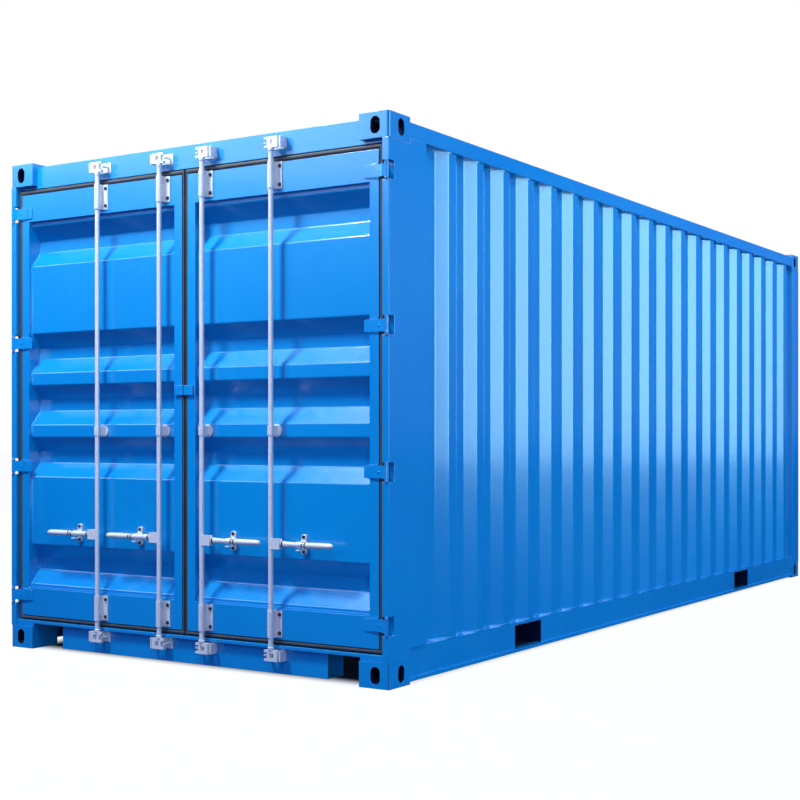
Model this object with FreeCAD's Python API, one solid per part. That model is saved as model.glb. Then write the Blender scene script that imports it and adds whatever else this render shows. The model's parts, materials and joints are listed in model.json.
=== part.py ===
"""Twenty-foot steel shipping container with a pair of cargo doors.

The doors are at the -Y end, +X is the right-hand side seen from the doors, and +Z is up.
The origin lies on the plane of the bottom castings' feet, midway between the sides and
the two ends of the corner castings. Every length is in millimetres.
"""
import os

import FreeCAD
import Part

Vector = FreeCAD.Vector

# ---------------------------------------------------------------- overall envelope
WIDTH = 2438.0
LENGTH = 6058.0
HEIGHT = 2591.0

# ---------------------------------------------------------------- corner castings
CAST_X = 162.0
CAST_Y = 178.0
CAST_Z = 118.0
CAST_SKIN = 16.0            # side and end walls
CAST_PLATE = 28.0           # plate round the top or bottom aperture
CAST_ROUND = 12.0           # rounded outer upright edge
APERTURE_LENGTH = 124.5     # stadium slot in the top or bottom plate, along Y
APERTURE_WIDTH = 63.5
APERTURE_INSET_X = 89.5     # slot centre to the side face
APERTURE_INSET_Y = 102.5    # slot centre to the end face
CAST_HOLE_WIDTH = 51.0      # upright oval holes in the end and side walls
CAST_HOLE_HEIGHT = 79.5
END_HOLE_INSET = 74.0       # from the outer side face
SIDE_HOLE_INSET = 102.5     # from the outer end face

# ---------------------------------------------------------------- posts and frames
POST_FACE = 36.0            # width of the door post seen from the end
POST_INNER = 48.0           # width of the door post behind the doors
POST_DEPTH = 319.0          # length of the door post along the side
POST_BAR = 64.0             # solid hot-rolled front bar of the door post
POST_SKIN = 6.0
HINGE_POCKET_DEPTH = 45.0
HINGE_POCKET_HEIGHT = 85.0
REAR_POST_X = 150.0
REAR_POST_Y = 149.0
HEADER_HEIGHT = 134.0       # underside of the header below the top of the castings
HEADER_DROP = 18.0          # top of the header below the top of the castings
HEADER_RECESS = 34.0        # face behind the castings' end face
FRAME_BACK_GAP = 16.0       # back of the header and threshold behind the back of the leaf
FRAME_WALL = 4.5
SILL_TOP = 150.0
SILL_BAND = 17.0            # thickness of the threshold
SILL_BAND_RECESS = 9.0
SILL_RECESS = 31.0
SILL_END_GAP = 195.0        # end of the sill's deep beam to the casting
SILL_DEPTH = 125.0
FLOOR_REST_BEFORE = 10.0    # rest for the floor, before and behind the threshold's back edge
FLOOR_REST_BEHIND = 20.0
UNDERSIDE = 12.0            # lowest steel above the ground, apart from the castings

# ---------------------------------------------------------------- rails, walls, roof, floor
TOP_RAIL_DROP = 21.0        # top of the rail below the top of the castings
TOP_RAIL_HEIGHT = 75.0
TOP_RAIL_WIDTH = 60.0
TOP_RAIL_INSET = 3.0
BOTTOM_RAIL_TOP = 165.0
BOTTOM_RAIL_INSET = 10.0
BOTTOM_RAIL_PLATE = 6.0     # upper flange, level with the top of the cross members
RAIL_FLANGE = 48.0
RAIL_FOOT = 30.0            # height of the upper face of the rail's foot
FOOT_WIDTH = 40.0
SHEET = 2.0                 # wall and roof sheet
WALL_INSET = 10.0           # outer flats behind the side plane
WALL_WAVE = 36.0            # depth of the wall corrugation
WALL_FLAT = 68.0
WALL_SLOPE = 67.9
WALL_LEAD = 150.0           # plain strip behind the door post
REAR_WAVE = 45.0
ROOF_WAVE = 20.0
ROOF_FLAT = 68.0
ROOF_SLOPE = 36.0
ROOF_MARGIN = 60.0
ROOF_END_PLATE = 4.0
FLOOR_THICK = 28.0
BEAM_HEIGHT = 122.0
BEAM_FLANGE = 45.0
BEAM_WEB = 4.0
BEAM_PITCH = 305.0
POCKET_Y = 1672.0           # centre of each fork pocket
POCKET_WIDTH = 300.0
POCKET_BOTTOM = 30.0
POCKET_TOP = 150.0
POCKET_PLATE = 4.5
POCKET_STRAP = 70.0

# ---------------------------------------------------------------- doors
DOOR_RECESS = 18.0          # leaf face behind the castings' end face
LEAF_THICK = 100.0
LEAF_GAP_SIDE = 30.0        # leaf edge to door post
LEAF_GAP_CENTRE = 18.0      # leaf edge to the middle plane
LEAF_GAP_BOTTOM = 25.0      # leaf edge to sill
LEAF_GAP_TOP = 31.0         # leaf edge to header
STILE = 50.0
LEAF_RAIL_TOP = 145.0
LEAF_RAIL_BOTTOM = 147.0
LEAF_TUBE_WALL = 3.2
PANEL_RECESS = 16.5         # outer flats behind the leaf face
GROOVE_DEPTH = 60.0
GROOVE_SLOPE = 74.0
GROOVE_FLOOR = 65.0
GROOVE_STEP = 277.0         # between the three middle grooves
GROOVE_FROM_TOP = 275.5     # centre of the top groove to the top of the leaf
GROOVE_FROM_BOTTOM = 275.5
SEAL_THICK = 21.0
SEAL_RECESS = 5.0           # seal face behind the leaf face
SEAL_SIDE = 23.0
SEAL_CENTRE = 14.0
SEAL_TOP = 25.0
SEAL_BOTTOM = 19.5

# ---------------------------------------------------------------- hinges
HINGE_INSET = 14.0          # hinge axis to the side face
HINGE_DEPTH = 2.0           # hinge axis behind the castings' end face
HINGE_FROM_BOTTOM = 108.0   # lowest hinge to the bottom of the leaf
HINGE_BELOW_MIDDLE = 327.5
HINGE_ABOVE_MIDDLE = 331.5
HINGE_FROM_TOP = 99.0
KNUCKLE_RADIUS = 10.0
KNUCKLE_HEIGHT = 72.0
PIN_RADIUS = 5.0
PIN_CLEARANCE = 0.5
BLADE_HEIGHT = 56.0
BLADE_THICK = 7.0
BLADE_REACH = 45.0          # blade over the stile
CRANK_START = 9.0           # the blade bends this far past the edge of the leaf
CRANK_BACK = 17.0           # and its back face this far
CRANK_HALF = 7.0            # half the blade's thickness at the knuckle
CRANK_SET = 6.0             # end of the blade's faces before the hinge axis
BLADE_TUCK = 3.0            # blade behind the leaf face, past the leaf's edge

# ---------------------------------------------------------------- locking gear
ROD_POSITIONS = {"inner": 139.0, "outer": 564.0}
ROD_RADIUS = 12.0
ROD_STAND_OFF = 32.0        # rod axis in front of the leaf face
ROD_CLEARANCE = 0.5
CAM_HEIGHT = 52.0
CAM_GAP_SILL = 5.0          # top of the lower cam below the threshold
CAM_ABOVE_HEADER = 59.0     # centre of the upper cam above the underside of the header
CAM_THICK = 18.0
CAM_TO_CENTRE = 34.0
CAM_TO_HINGE = 42.0
CAM_PRONG = 17.0            # length of the two prongs
CAM_PRONG_THICK = 11.0
CAM_WINDOW = 22.0
CAM_NECK = 4.0              # rod end to the edge of the window
KEEPER_PLATE = 3.0
KEEPER_EAR_GAP = 10.0
KEEPER_EAR = 6.0
KEEPER_FINGER = 12.0
KEEPER_FINGER_HEIGHT = 8.0
KEEPER_FINGER_SET = 6.0     # finger past the end of the prongs
KEEPER_TAIL = 16.0          # base plate past the end of the prongs
KEEPER_FRONT = 3.0          # front of the ear and finger before the rod axis
SLEEVE_RADIUS = 16.0
SLEEVE_LENGTH = 128.0
UPPER_SLEEVE_DROP = 126.0   # bottom of the upper bearing below the top of the leaf
LOWER_SLEEVE_RISE = 11.0    # bottom of the lower bearing above the bottom of the leaf
SADDLE_PLATE = 4.0
SADDLE_HALF_WIDTH = 44.0
SADDLE_BLOCK = 22.0
GUIDE_DROP = 139.5          # middle guide below the middle of the leaf
GUIDE_LENGTH = 45.0
GUIDE_HALF_WIDTH = 24.0
HANDLE_HEIGHT = 629.0
CLEVIS_REACH = 58.0
CLEVIS_HEIGHT = 50.0
CLEVIS_PLATE = 6.0
CLEVIS_SLOT = 12.0
CLEVIS_WEB = 4.0            # steel between the rod and the slot
PIVOT_REACH = 40.0
PIVOT_RADIUS = 6.0
TONGUE_THICK = 10.0
TONGUE_HEIGHT = 30.0
TONGUE_END = 96.0
GRIP_RADIUS = 12.0
GRIP_LAP = 10.0             # grip over the end of the tongue
HANDLE_LENGTH = 360.0       # rod axis to handle tip
RETAINER_REACH = 165.0
RETAINER_HALF_WIDTH = 24.0
RETAINER_HEIGHT = 92.0
RETAINER_THICK = 14.0
LEDGE_THICK = 6.0
LEDGE_GAP = 6.0
LUG_HALF_WIDTH = 59.0
LUG_GAP = 3.0               # each half of the middle lug to the middle plane
LUG_RISE = 35.5             # bottom of the lug above the middle of the leaf
LUG_HEIGHT = 50.0
LUG_THICK = 12.0
OVER = 1.0                  # a cutter goes this far past the steel it cuts

# ---------------------------------------------------------------- derived planes
HALF_W = WIDTH / 2
DOOR_Y = -LENGTH / 2
REAR_Y = LENGTH / 2
LEAF_Y = DOOR_Y + DOOR_RECESS
LEAF_BACK_Y = LEAF_Y + LEAF_THICK
LEAF_OUTER_X = HALF_W - POST_FACE - LEAF_GAP_SIDE
LEAF_INNER_X = LEAF_GAP_CENTRE
PANEL_Y = LEAF_Y + PANEL_RECESS
ROD_Y = LEAF_Y - ROD_STAND_OFF
HEADER_Y = DOOR_Y + HEADER_RECESS
HEADER_BOTTOM = HEIGHT - HEADER_HEIGHT
LEAF_BOTTOM = SILL_TOP + LEAF_GAP_BOTTOM
LEAF_TOP = HEADER_BOTTOM - LEAF_GAP_TOP
LEAF_MIDDLE = (LEAF_BOTTOM + LEAF_TOP) / 2
FRAME_BACK_Y = LEAF_BACK_Y + FRAME_BACK_GAP
SILL_Y = DOOR_Y + SILL_RECESS
CAST_END_Y = LENGTH / 2 - CAST_Y
CAST_INNER_X = HALF_W - CAST_X
SILL_HALF_LENGTH = CAST_INNER_X - SILL_END_GAP
POST_END_Y = DOOR_Y + POST_DEPTH
REAR_POST_START_Y = REAR_Y - REAR_POST_Y
REAR_POST_INNER_X = HALF_W - REAR_POST_X
RAIL_X = HALF_W - BOTTOM_RAIL_INSET
FLANGE_X = RAIL_X - RAIL_FLANGE
TOP_RAIL_X = HALF_W - TOP_RAIL_INSET
TOP_RAIL_TOP = HEIGHT - TOP_RAIL_DROP
TOP_RAIL_BOTTOM = TOP_RAIL_TOP - TOP_RAIL_HEIGHT
ROOF_VALLEY_Z = TOP_RAIL_TOP - ROOF_WAVE
FLOOR_BOTTOM = BOTTOM_RAIL_TOP - BOTTOM_RAIL_PLATE
REAR_FACE_Y = REAR_Y - TOP_RAIL_INSET - TOP_RAIL_WIDTH
HINGE_X = HALF_W - HINGE_INSET
HINGE_Y = DOOR_Y + HINGE_DEPTH
HINGE_HEIGHTS = (
    LEAF_BOTTOM + HINGE_FROM_BOTTOM,
    LEAF_MIDDLE - HINGE_BELOW_MIDDLE,
    LEAF_MIDDLE + HINGE_ABOVE_MIDDLE,
    LEAF_TOP - HINGE_FROM_TOP,
)
CAM_LOW = SILL_TOP - SILL_BAND - CAM_GAP_SILL - CAM_HEIGHT / 2
CAM_HIGH = HEADER_BOTTOM + CAM_ABOVE_HEADER


def box(x0, x1, y0, y1, z0, z1):
    """Solid box between two corners."""
    return Part.makeBox(x1 - x0, y1 - y0, z1 - z0, Vector(x0, y0, z0))


def upright(radius, x, y, z0, z1):
    """Upright cylinder."""
    return Part.makeCylinder(radius, z1 - z0, Vector(x, y, z0), Vector(0, 0, 1))


def prism(points, direction):
    """Closed polygon pushed along a direction."""
    corners = [Vector(*point) for point in points]
    outline = Part.makePolygon(corners + corners[:1])
    return Part.Face(outline).extrude(Vector(*direction))


def joined(shapes):
    """One solid from touching shapes, with its seams taken out."""
    return shapes[0].fuse(shapes[1:]).removeSplitter()


def left_of(shape):
    """Mirror image across the middle plane."""
    return shape.mirror(Vector(0, 0, 0), Vector(1, 0, 0))


def save(node, shapes):
    """One STEP file for a node, from one shape or several that stand apart."""
    parts = shapes if isinstance(shapes, list) else [shapes]
    solids = [solid for part in parts for solid in part.Solids]
    whole = solids[0] if len(solids) == 1 else Part.makeCompound(solids)
    whole.exportStep("parts/" + node + ".step")


def tube(x0, x1, y0, y1, z0, z1, wall, along):
    """Rectangular hollow section, open at both ends of the given axis."""
    inset = {axis: 0.0 if axis == along else wall for axis in "xyz"}
    hollow = box(
        x0 + inset["x"], x1 - inset["x"],
        y0 + inset["y"], y1 - inset["y"],
        z0 + inset["z"], z1 - inset["z"],
    )
    return box(x0, x1, y0, y1, z0, z1).cut(hollow)


def stadium(length, width, x, y, z0, z1):
    """Upright slot cutter with round ends, long along Y."""
    radius = width / 2
    reach = length / 2 - radius
    ends = [upright(radius, x, y + side * reach, z0, z1) for side in (-1, 1)]
    return joined([box(x - radius, x + radius, y - reach, y + reach, z0, z1)] + ends)


def oval_hole(height, width, depth):
    """Upright oval cutter along Y, centred on the origin."""
    radius = width / 2
    reach = height / 2 - radius
    middle = box(-radius, radius, -depth, depth, -reach, reach)
    ends = [
        Part.makeCylinder(radius, 2 * depth, Vector(0, -depth, side * reach), Vector(0, 1, 0))
        for side in (-1, 1)
    ]
    return joined([middle] + ends)


# ---------------------------------------------------------------- corner castings
def casting(end, level):
    """Right-hand casting: end -1 is the door end, level 1 is the top."""
    z0 = HEIGHT - CAST_Z if level == 1 else 0.0
    z1 = z0 + CAST_Z
    y0, y1 = sorted((end * LENGTH / 2, end * CAST_END_Y))
    body = box(CAST_INNER_X, HALF_W, y0, y1, z0, z1)
    corner = [
        edge for edge in body.Edges
        if abs(edge.CenterOfMass.x - HALF_W) < 0.01
        and abs(edge.CenterOfMass.y - end * LENGTH / 2) < 0.01
    ]
    body = body.makeFillet(CAST_ROUND, corner)
    low_wall = CAST_PLATE if level == -1 else CAST_SKIN
    high_wall = CAST_PLATE if level == 1 else CAST_SKIN
    body = body.cut(box(
        CAST_INNER_X + CAST_SKIN, HALF_W - CAST_SKIN,
        y0 + CAST_SKIN, y1 - CAST_SKIN, z0 + low_wall, z1 - high_wall,
    ))
    slot_z0 = z1 - CAST_PLATE - OVER if level == 1 else -OVER
    slot = stadium(
        APERTURE_LENGTH, APERTURE_WIDTH,
        HALF_W - APERTURE_INSET_X, end * (LENGTH / 2 - APERTURE_INSET_Y),
        slot_z0, slot_z0 + CAST_PLATE + 2 * OVER,
    )
    middle_z = (z0 + z1) / 2
    end_hole = oval_hole(CAST_HOLE_HEIGHT, CAST_HOLE_WIDTH, CAST_SKIN + OVER)
    end_hole.translate(Vector(HALF_W - END_HOLE_INSET, end * LENGTH / 2, middle_z))
    side_hole = oval_hole(CAST_HOLE_HEIGHT, CAST_HOLE_WIDTH, CAST_SKIN + OVER)
    side_hole.rotate(Vector(0, 0, 0), Vector(0, 0, 1), 90)
    side_hole.translate(Vector(HALF_W, end * (LENGTH / 2 - SIDE_HOLE_INSET), middle_z))
    return body.cut(slot).cut(end_hole).cut(side_hole)


CASTINGS = {
    level: [casting(end, level) for end in (-1, 1)]
    for level in (-1, 1)
}


def clear_of_castings(shape):
    """Cut away the room that the four castings take at each corner."""
    for side in (-1, 1):
        x0, x1 = sorted((side * CAST_INNER_X, side * HALF_W))
        for end in (-1, 1):
            y0, y1 = sorted((end * CAST_END_Y, end * LENGTH / 2))
            shape = shape.cut(box(x0, x1, y0, y1, 0, CAST_Z))
            shape = shape.cut(box(x0, x1, y0, y1, HEIGHT - CAST_Z, HEIGHT))
    return shape


# ---------------------------------------------------------------- end frames
def door_post():
    """Right-hand door post: solid front bar, hollow rear part, four hinge pockets."""
    outline = [
        (HALF_W, DOOR_Y, CAST_Z),
        (HALF_W, POST_END_Y, CAST_Z),
        (HALF_W - POST_INNER, POST_END_Y, CAST_Z),
        (HALF_W - POST_INNER, FRAME_BACK_Y, CAST_Z),
        (HALF_W - POST_FACE, FRAME_BACK_Y, CAST_Z),
        (HALF_W - POST_FACE, DOOR_Y, CAST_Z),
    ]
    post = prism(outline, (0, 0, TOP_RAIL_BOTTOM - CAST_Z))
    post = post.cut(box(
        HALF_W - POST_FACE + POST_SKIN, HALF_W - POST_SKIN,
        DOOR_Y + POST_BAR, POST_END_Y - POST_SKIN, 0, HEIGHT,
    ))
    post = post.cut(box(0, HALF_W + OVER, -CAST_END_Y, 0, 0, BOTTOM_RAIL_TOP))
    post = clear_of_castings(post)
    half = HINGE_POCKET_HEIGHT / 2
    for z in HINGE_HEIGHTS:
        post = post.cut(box(
            HALF_W - POST_FACE - OVER, HALF_W + OVER,
            DOOR_Y - OVER, DOOR_Y + HINGE_POCKET_DEPTH, z - half, z + half,
        ))
    return post


def hinge_pins():
    """Right-hand hinge pins, each from the floor to the roof of its pocket."""
    half = HINGE_POCKET_HEIGHT / 2
    return [upright(PIN_RADIUS, HINGE_X, HINGE_Y, z - half, z + half) for z in HINGE_HEIGHTS]


def rear_post():
    """Right-hand post of the closed end."""
    return tube(
        REAR_POST_INNER_X, HALF_W, REAR_POST_START_Y, REAR_Y,
        CAST_Z, HEIGHT - CAST_Z, POST_SKIN, "z",
    )


def door_header():
    """Hollow beam over the doors, with a low strip under each casting."""
    beam = tube(
        -CAST_INNER_X, CAST_INNER_X, HEADER_Y, FRAME_BACK_Y,
        HEADER_BOTTOM, HEIGHT - HEADER_DROP, FRAME_WALL, "x",
    )
    reach = HALF_W - POST_FACE
    strips = [
        box(x0, x1, HEADER_Y, FRAME_BACK_Y, HEADER_BOTTOM, HEIGHT - CAST_Z)
        for x0, x1 in ((-reach, -CAST_INNER_X), (CAST_INNER_X, reach))
    ]
    return joined([beam] + strips)


def door_sill():
    """Threshold between the posts over a deep hollow beam, with a rest for the floor."""
    reach = HALF_W - POST_FACE
    band = box(
        -reach, reach, DOOR_Y + SILL_BAND_RECESS, FRAME_BACK_Y, SILL_TOP - SILL_BAND, SILL_TOP,
    )
    seats = [
        box(x0, x1, DOOR_Y + SILL_BAND_RECESS, FRAME_BACK_Y, CAST_Z, SILL_TOP)
        for x0, x1 in ((-reach, -CAST_INNER_X), (CAST_INNER_X, reach))
    ]
    beam = tube(
        -SILL_HALF_LENGTH, SILL_HALF_LENGTH, SILL_Y, SILL_Y + SILL_DEPTH,
        UNDERSIDE, SILL_TOP - SILL_BAND, FRAME_WALL, "x",
    )
    rest_x = HALF_W - POST_INNER
    rest = box(
        -rest_x, rest_x, FRAME_BACK_Y - FLOOR_REST_BEFORE, FRAME_BACK_Y + FLOOR_REST_BEHIND,
        SILL_TOP, FLOOR_BOTTOM,
    )
    return joined([band, beam, rest] + seats)


def rear_bottom_rail():
    """Hollow beam under the closed end, with ears over the castings."""
    beam = tube(
        -REAR_POST_INNER_X, REAR_POST_INNER_X, REAR_FACE_Y, REAR_FACE_Y + TOP_RAIL_WIDTH,
        UNDERSIDE, BOTTOM_RAIL_TOP, FRAME_WALL, "x",
    )
    return clear_of_castings(beam)


def rear_top_rail():
    """Hollow beam over the closed end."""
    return tube(
        -CAST_INNER_X, CAST_INNER_X, REAR_FACE_Y, REAR_FACE_Y + TOP_RAIL_WIDTH,
        TOP_RAIL_BOTTOM, TOP_RAIL_TOP, FRAME_WALL, "x",
    )


# ---------------------------------------------------------------- side rails
def top_side_rail():
    """Right-hand hollow rail between the top castings."""
    return tube(
        TOP_RAIL_X - TOP_RAIL_WIDTH, TOP_RAIL_X, -CAST_END_Y, CAST_END_Y,
        TOP_RAIL_BOTTOM, TOP_RAIL_TOP, FRAME_WALL, "y",
    )


def bottom_side_rail():
    """Right-hand pressed channel with a lipped foot and two fork pocket cut-outs."""
    y0 = -CAST_END_Y
    y1 = REAR_POST_START_Y
    web = box(RAIL_X - FRAME_WALL, RAIL_X, y0, y1, UNDERSIDE, BOTTOM_RAIL_TOP)
    flange = box(FLANGE_X, RAIL_X, y0, y1, FLOOR_BOTTOM, BOTTOM_RAIL_TOP)
    foot = box(HALF_W - FOOT_WIDTH, HALF_W, y0, y1, RAIL_FOOT - FRAME_WALL, RAIL_FOOT)
    lip = box(HALF_W - FRAME_WALL, HALF_W, y0, y1, UNDERSIDE, RAIL_FOOT)
    rail = joined([web, flange, foot, lip])
    half = POCKET_WIDTH / 2
    for y in (-POCKET_Y, POCKET_Y):
        rail = rail.cut(box(
            RAIL_X - FRAME_WALL - OVER, RAIL_X + OVER,
            y - half, y + half, POCKET_BOTTOM, POCKET_TOP,
        ))
    return clear_of_castings(rail)


# ---------------------------------------------------------------- sheet walls and roof
def wave(start, end, lead, flat, slope, depth):
    """Section of a trapezoid wave from start to end: (along, rise) points, rise 0 or depth."""
    pitch = 2 * (flat + slope)
    count = int((end - start - lead) / pitch)
    points = [(start, 0.0)]
    for number in range(count):
        foot = start + lead + number * pitch
        points.append((foot, 0.0))
        points.append((foot + slope, depth))
        points.append((foot + slope + flat, depth))
        points.append((foot + 2 * slope + flat, 0.0))
    points.append((end, 0.0))
    return points


def thickened(points, thick):
    """Outline of a sheet: the section points and the same points moved down."""
    return points + [(along, rise - thick) for along, rise in reversed(points)]


def side_wall():
    """Right-hand corrugated wall between the door post and the rear post."""
    valley_x = HALF_W - WALL_INSET - WALL_WAVE
    section = wave(POST_END_Y, REAR_POST_START_Y, WALL_LEAD, WALL_FLAT, WALL_SLOPE, WALL_WAVE)
    outline = [
        (valley_x + rise, along, BOTTOM_RAIL_TOP) for along, rise in thickened(section, SHEET)
    ]
    return clear_of_castings(prism(outline, (0, 0, TOP_RAIL_BOTTOM - BOTTOM_RAIL_TOP)))


def rear_wall():
    """Corrugated wall of the closed end."""
    valley_y = REAR_Y - WALL_INSET - REAR_WAVE
    reach = REAR_POST_INNER_X
    pitch = 2 * (WALL_FLAT + WALL_SLOPE)
    spare = 2 * reach - int(2 * reach / pitch) * pitch + WALL_FLAT
    section = wave(-reach, reach, spare / 2, WALL_FLAT, WALL_SLOPE, REAR_WAVE)
    outline = [
        (along, valley_y + rise, BOTTOM_RAIL_TOP) for along, rise in thickened(section, SHEET)
    ]
    return clear_of_castings(prism(outline, (0, 0, TOP_RAIL_BOTTOM - BOTTOM_RAIL_TOP)))


def roof_panel():
    """Corrugated roof between the side rails, as long as the side rails."""
    reach = TOP_RAIL_X - TOP_RAIL_WIDTH
    section = wave(-CAST_END_Y, CAST_END_Y, ROOF_MARGIN, ROOF_FLAT, ROOF_SLOPE, ROOF_WAVE)
    outline = [(-reach, along, ROOF_VALLEY_Z + rise) for along, rise in thickened(section, SHEET)]
    return prism(outline, (2 * reach, 0, 0))


def roof_end_plates():
    """Flat plates between the castings, from the roof to the header and the rear top rail."""
    spans = [(FRAME_BACK_Y, -CAST_END_Y), (CAST_END_Y, REAR_FACE_Y)]
    return [
        box(-CAST_INNER_X, CAST_INNER_X, y0, y1, ROOF_VALLEY_Z - ROOF_END_PLATE, ROOF_VALLEY_Z)
        for y0, y1 in spans
    ]


# ---------------------------------------------------------------- floor and underframe
def floor_boards():
    """Plywood floor, narrowed between the rear posts."""
    top = FLOOR_BOTTOM + FLOOR_THICK
    main = box(-FLANGE_X, FLANGE_X, FRAME_BACK_Y, REAR_POST_START_Y, FLOOR_BOTTOM, top)
    tail = box(
        -REAR_POST_INNER_X, REAR_POST_INNER_X, REAR_POST_START_Y, REAR_FACE_Y, FLOOR_BOTTOM, top,
    )
    return joined([main, tail])


def cross_member(y):
    """Channel across the underframe, its web at y and its flanges towards +Y."""
    reach = RAIL_X - FRAME_WALL
    z0 = FLOOR_BOTTOM - BEAM_HEIGHT
    web = box(-reach, reach, y, y + BEAM_WEB, z0, FLOOR_BOTTOM)
    flanges = [
        box(-reach, reach, y, y + BEAM_FLANGE, z, z + BEAM_WEB)
        for z in (z0, FLOOR_BOTTOM - BEAM_WEB)
    ]
    return joined([web] + flanges)


def cross_members():
    """Channels spread over the three bays before, between and behind the fork pockets."""
    half = POCKET_WIDTH / 2 + POCKET_PLATE
    bays = [
        (-CAST_END_Y, -POCKET_Y - half),
        (-POCKET_Y + half, POCKET_Y - half),
        (POCKET_Y + half, CAST_END_Y),
    ]
    members = []
    for start, end in bays:
        count = int((end - start) / BEAM_PITCH)
        step = (end - start) / (count + 1)
        members += [cross_member(start + step * (number + 1)) for number in range(count)]
    return members


def fork_pocket(y):
    """Tunnel across the underframe: two cheeks, a top plate and a strap at each mouth."""
    reach = RAIL_X - FRAME_WALL
    half = POCKET_WIDTH / 2
    outer = half + POCKET_PLATE
    top = box(-reach, reach, y - outer, y + outer, POCKET_TOP, POCKET_TOP + POCKET_PLATE)
    cheeks = [
        box(-reach, reach, y + side - POCKET_PLATE / 2, y + side + POCKET_PLATE / 2,
            RAIL_FOOT, POCKET_TOP)
        for side in (-half - POCKET_PLATE / 2, half + POCKET_PLATE / 2)
    ]
    strap_x = HALF_W - FOOT_WIDTH
    straps = [
        box(x0, x1, y - outer, y + outer, RAIL_FOOT - FRAME_WALL, RAIL_FOOT)
        for x0, x1 in ((-strap_x, POCKET_STRAP - strap_x), (strap_x - POCKET_STRAP, strap_x))
    ]
    return joined([top] + cheeks + straps)


# ---------------------------------------------------------------- door leaves
def leaf_opening(grow):
    """Room inside the leaf's frame, grown or shrunk by the wall of its tubes."""
    return box(
        LEAF_INNER_X + STILE - grow, LEAF_OUTER_X - STILE + grow,
        LEAF_Y - OVER, LEAF_BACK_Y + OVER,
        LEAF_BOTTOM + LEAF_RAIL_BOTTOM - grow, LEAF_TOP - LEAF_RAIL_TOP + grow,
    )


def leaf_frame():
    """Ring of hollow tubes round the right-hand leaf."""
    wall = LEAF_TUBE_WALL
    ring = box(LEAF_INNER_X, LEAF_OUTER_X, LEAF_Y, LEAF_BACK_Y, LEAF_BOTTOM, LEAF_TOP)
    ring = ring.cut(leaf_opening(0))
    hollow = box(
        LEAF_INNER_X + wall, LEAF_OUTER_X - wall, LEAF_Y + wall, LEAF_BACK_Y - wall,
        LEAF_BOTTOM + wall, LEAF_TOP - wall,
    )
    return ring.cut(hollow.cut(leaf_opening(wall)))


def leaf_panel():
    """Pressed sheet with five level grooves, welded inside the frame."""
    half = GROOVE_FLOOR / 2 + GROOVE_SLOPE
    centres = [LEAF_MIDDLE + step * GROOVE_STEP for step in (-1, 0, 1)]
    centres = [LEAF_BOTTOM + GROOVE_FROM_BOTTOM] + centres + [LEAF_TOP - GROOVE_FROM_TOP]
    points = [(LEAF_BOTTOM + LEAF_RAIL_BOTTOM, PANEL_Y)]
    for centre in centres:
        points.append((centre - half, PANEL_Y))
        points.append((centre - GROOVE_FLOOR / 2, PANEL_Y + GROOVE_DEPTH))
        points.append((centre + GROOVE_FLOOR / 2, PANEL_Y + GROOVE_DEPTH))
        points.append((centre + half, PANEL_Y))
    points.append((LEAF_TOP - LEAF_RAIL_TOP, PANEL_Y))
    x0 = LEAF_INNER_X + STILE
    back = [(z, y + SHEET) for z, y in reversed(points)]
    outline = [(x0, y, z) for z, y in points + back]
    return prism(outline, (LEAF_OUTER_X - STILE - x0, 0, 0))


def leaf_seal():
    """Rubber ring round the edge of the leaf."""
    y0 = LEAF_Y + SEAL_RECESS
    y1 = y0 + SEAL_THICK
    outer = box(
        LEAF_INNER_X - SEAL_CENTRE, LEAF_OUTER_X + SEAL_SIDE, y0, y1,
        LEAF_BOTTOM - SEAL_BOTTOM, LEAF_TOP + SEAL_TOP,
    )
    return outer.cut(box(LEAF_INNER_X, LEAF_OUTER_X, y0, y1, LEAF_BOTTOM, LEAF_TOP))


def hinge(z):
    """Blade welded to the stile, cranked forward to its knuckle."""
    half = BLADE_HEIGHT / 2
    front = LEAF_Y - BLADE_THICK
    outline = [
        (LEAF_OUTER_X - BLADE_REACH, LEAF_Y, z - half),
        (LEAF_OUTER_X - BLADE_REACH, front, z - half),
        (LEAF_OUTER_X + CRANK_START, front, z - half),
        (HINGE_X - CRANK_SET, HINGE_Y - CRANK_HALF, z - half),
        (HINGE_X, HINGE_Y, z - half),
        (HINGE_X - CRANK_SET, HINGE_Y + CRANK_HALF, z - half),
        (LEAF_OUTER_X + CRANK_BACK, LEAF_Y + BLADE_TUCK, z - half),
        (LEAF_OUTER_X, LEAF_Y + BLADE_TUCK, z - half),
        (LEAF_OUTER_X, LEAF_Y, z - half),
    ]
    blade = prism(outline, (0, 0, BLADE_HEIGHT))
    reach = KNUCKLE_HEIGHT / 2
    knuckle = upright(KNUCKLE_RADIUS, HINGE_X, HINGE_Y, z - reach, z + reach)
    bore = upright(
        PIN_RADIUS + PIN_CLEARANCE, HINGE_X, HINGE_Y, z - reach - OVER, z + reach + OVER,
    )
    return joined([blade, knuckle]).cut(bore)


def middle_lug():
    """Right-hand half of the lug that bridges the two leaves."""
    z0 = LEAF_MIDDLE + LUG_RISE
    return box(LUG_GAP, LUG_HALF_WIDTH, LEAF_Y - LUG_THICK, LEAF_Y, z0, z0 + LUG_HEIGHT)


# ---------------------------------------------------------------- locking gear
def bearing(x, z0, length, face_y, half_width):
    """Sleeve round a rod on a saddle block and a base plate."""
    z1 = z0 + length
    plate = box(x - half_width, x + half_width, face_y - SADDLE_PLATE, face_y, z0, z1)
    block = box(x - SADDLE_BLOCK / 2, x + SADDLE_BLOCK / 2, ROD_Y, face_y, z0, z1)
    sleeve = upright(SLEEVE_RADIUS, x, ROD_Y, z0, z1)
    bore = upright(ROD_RADIUS + ROD_CLEARANCE, x, ROD_Y, z0 - OVER, z1 + OVER)
    return joined([plate, block, sleeve]).cut(bore)


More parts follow.
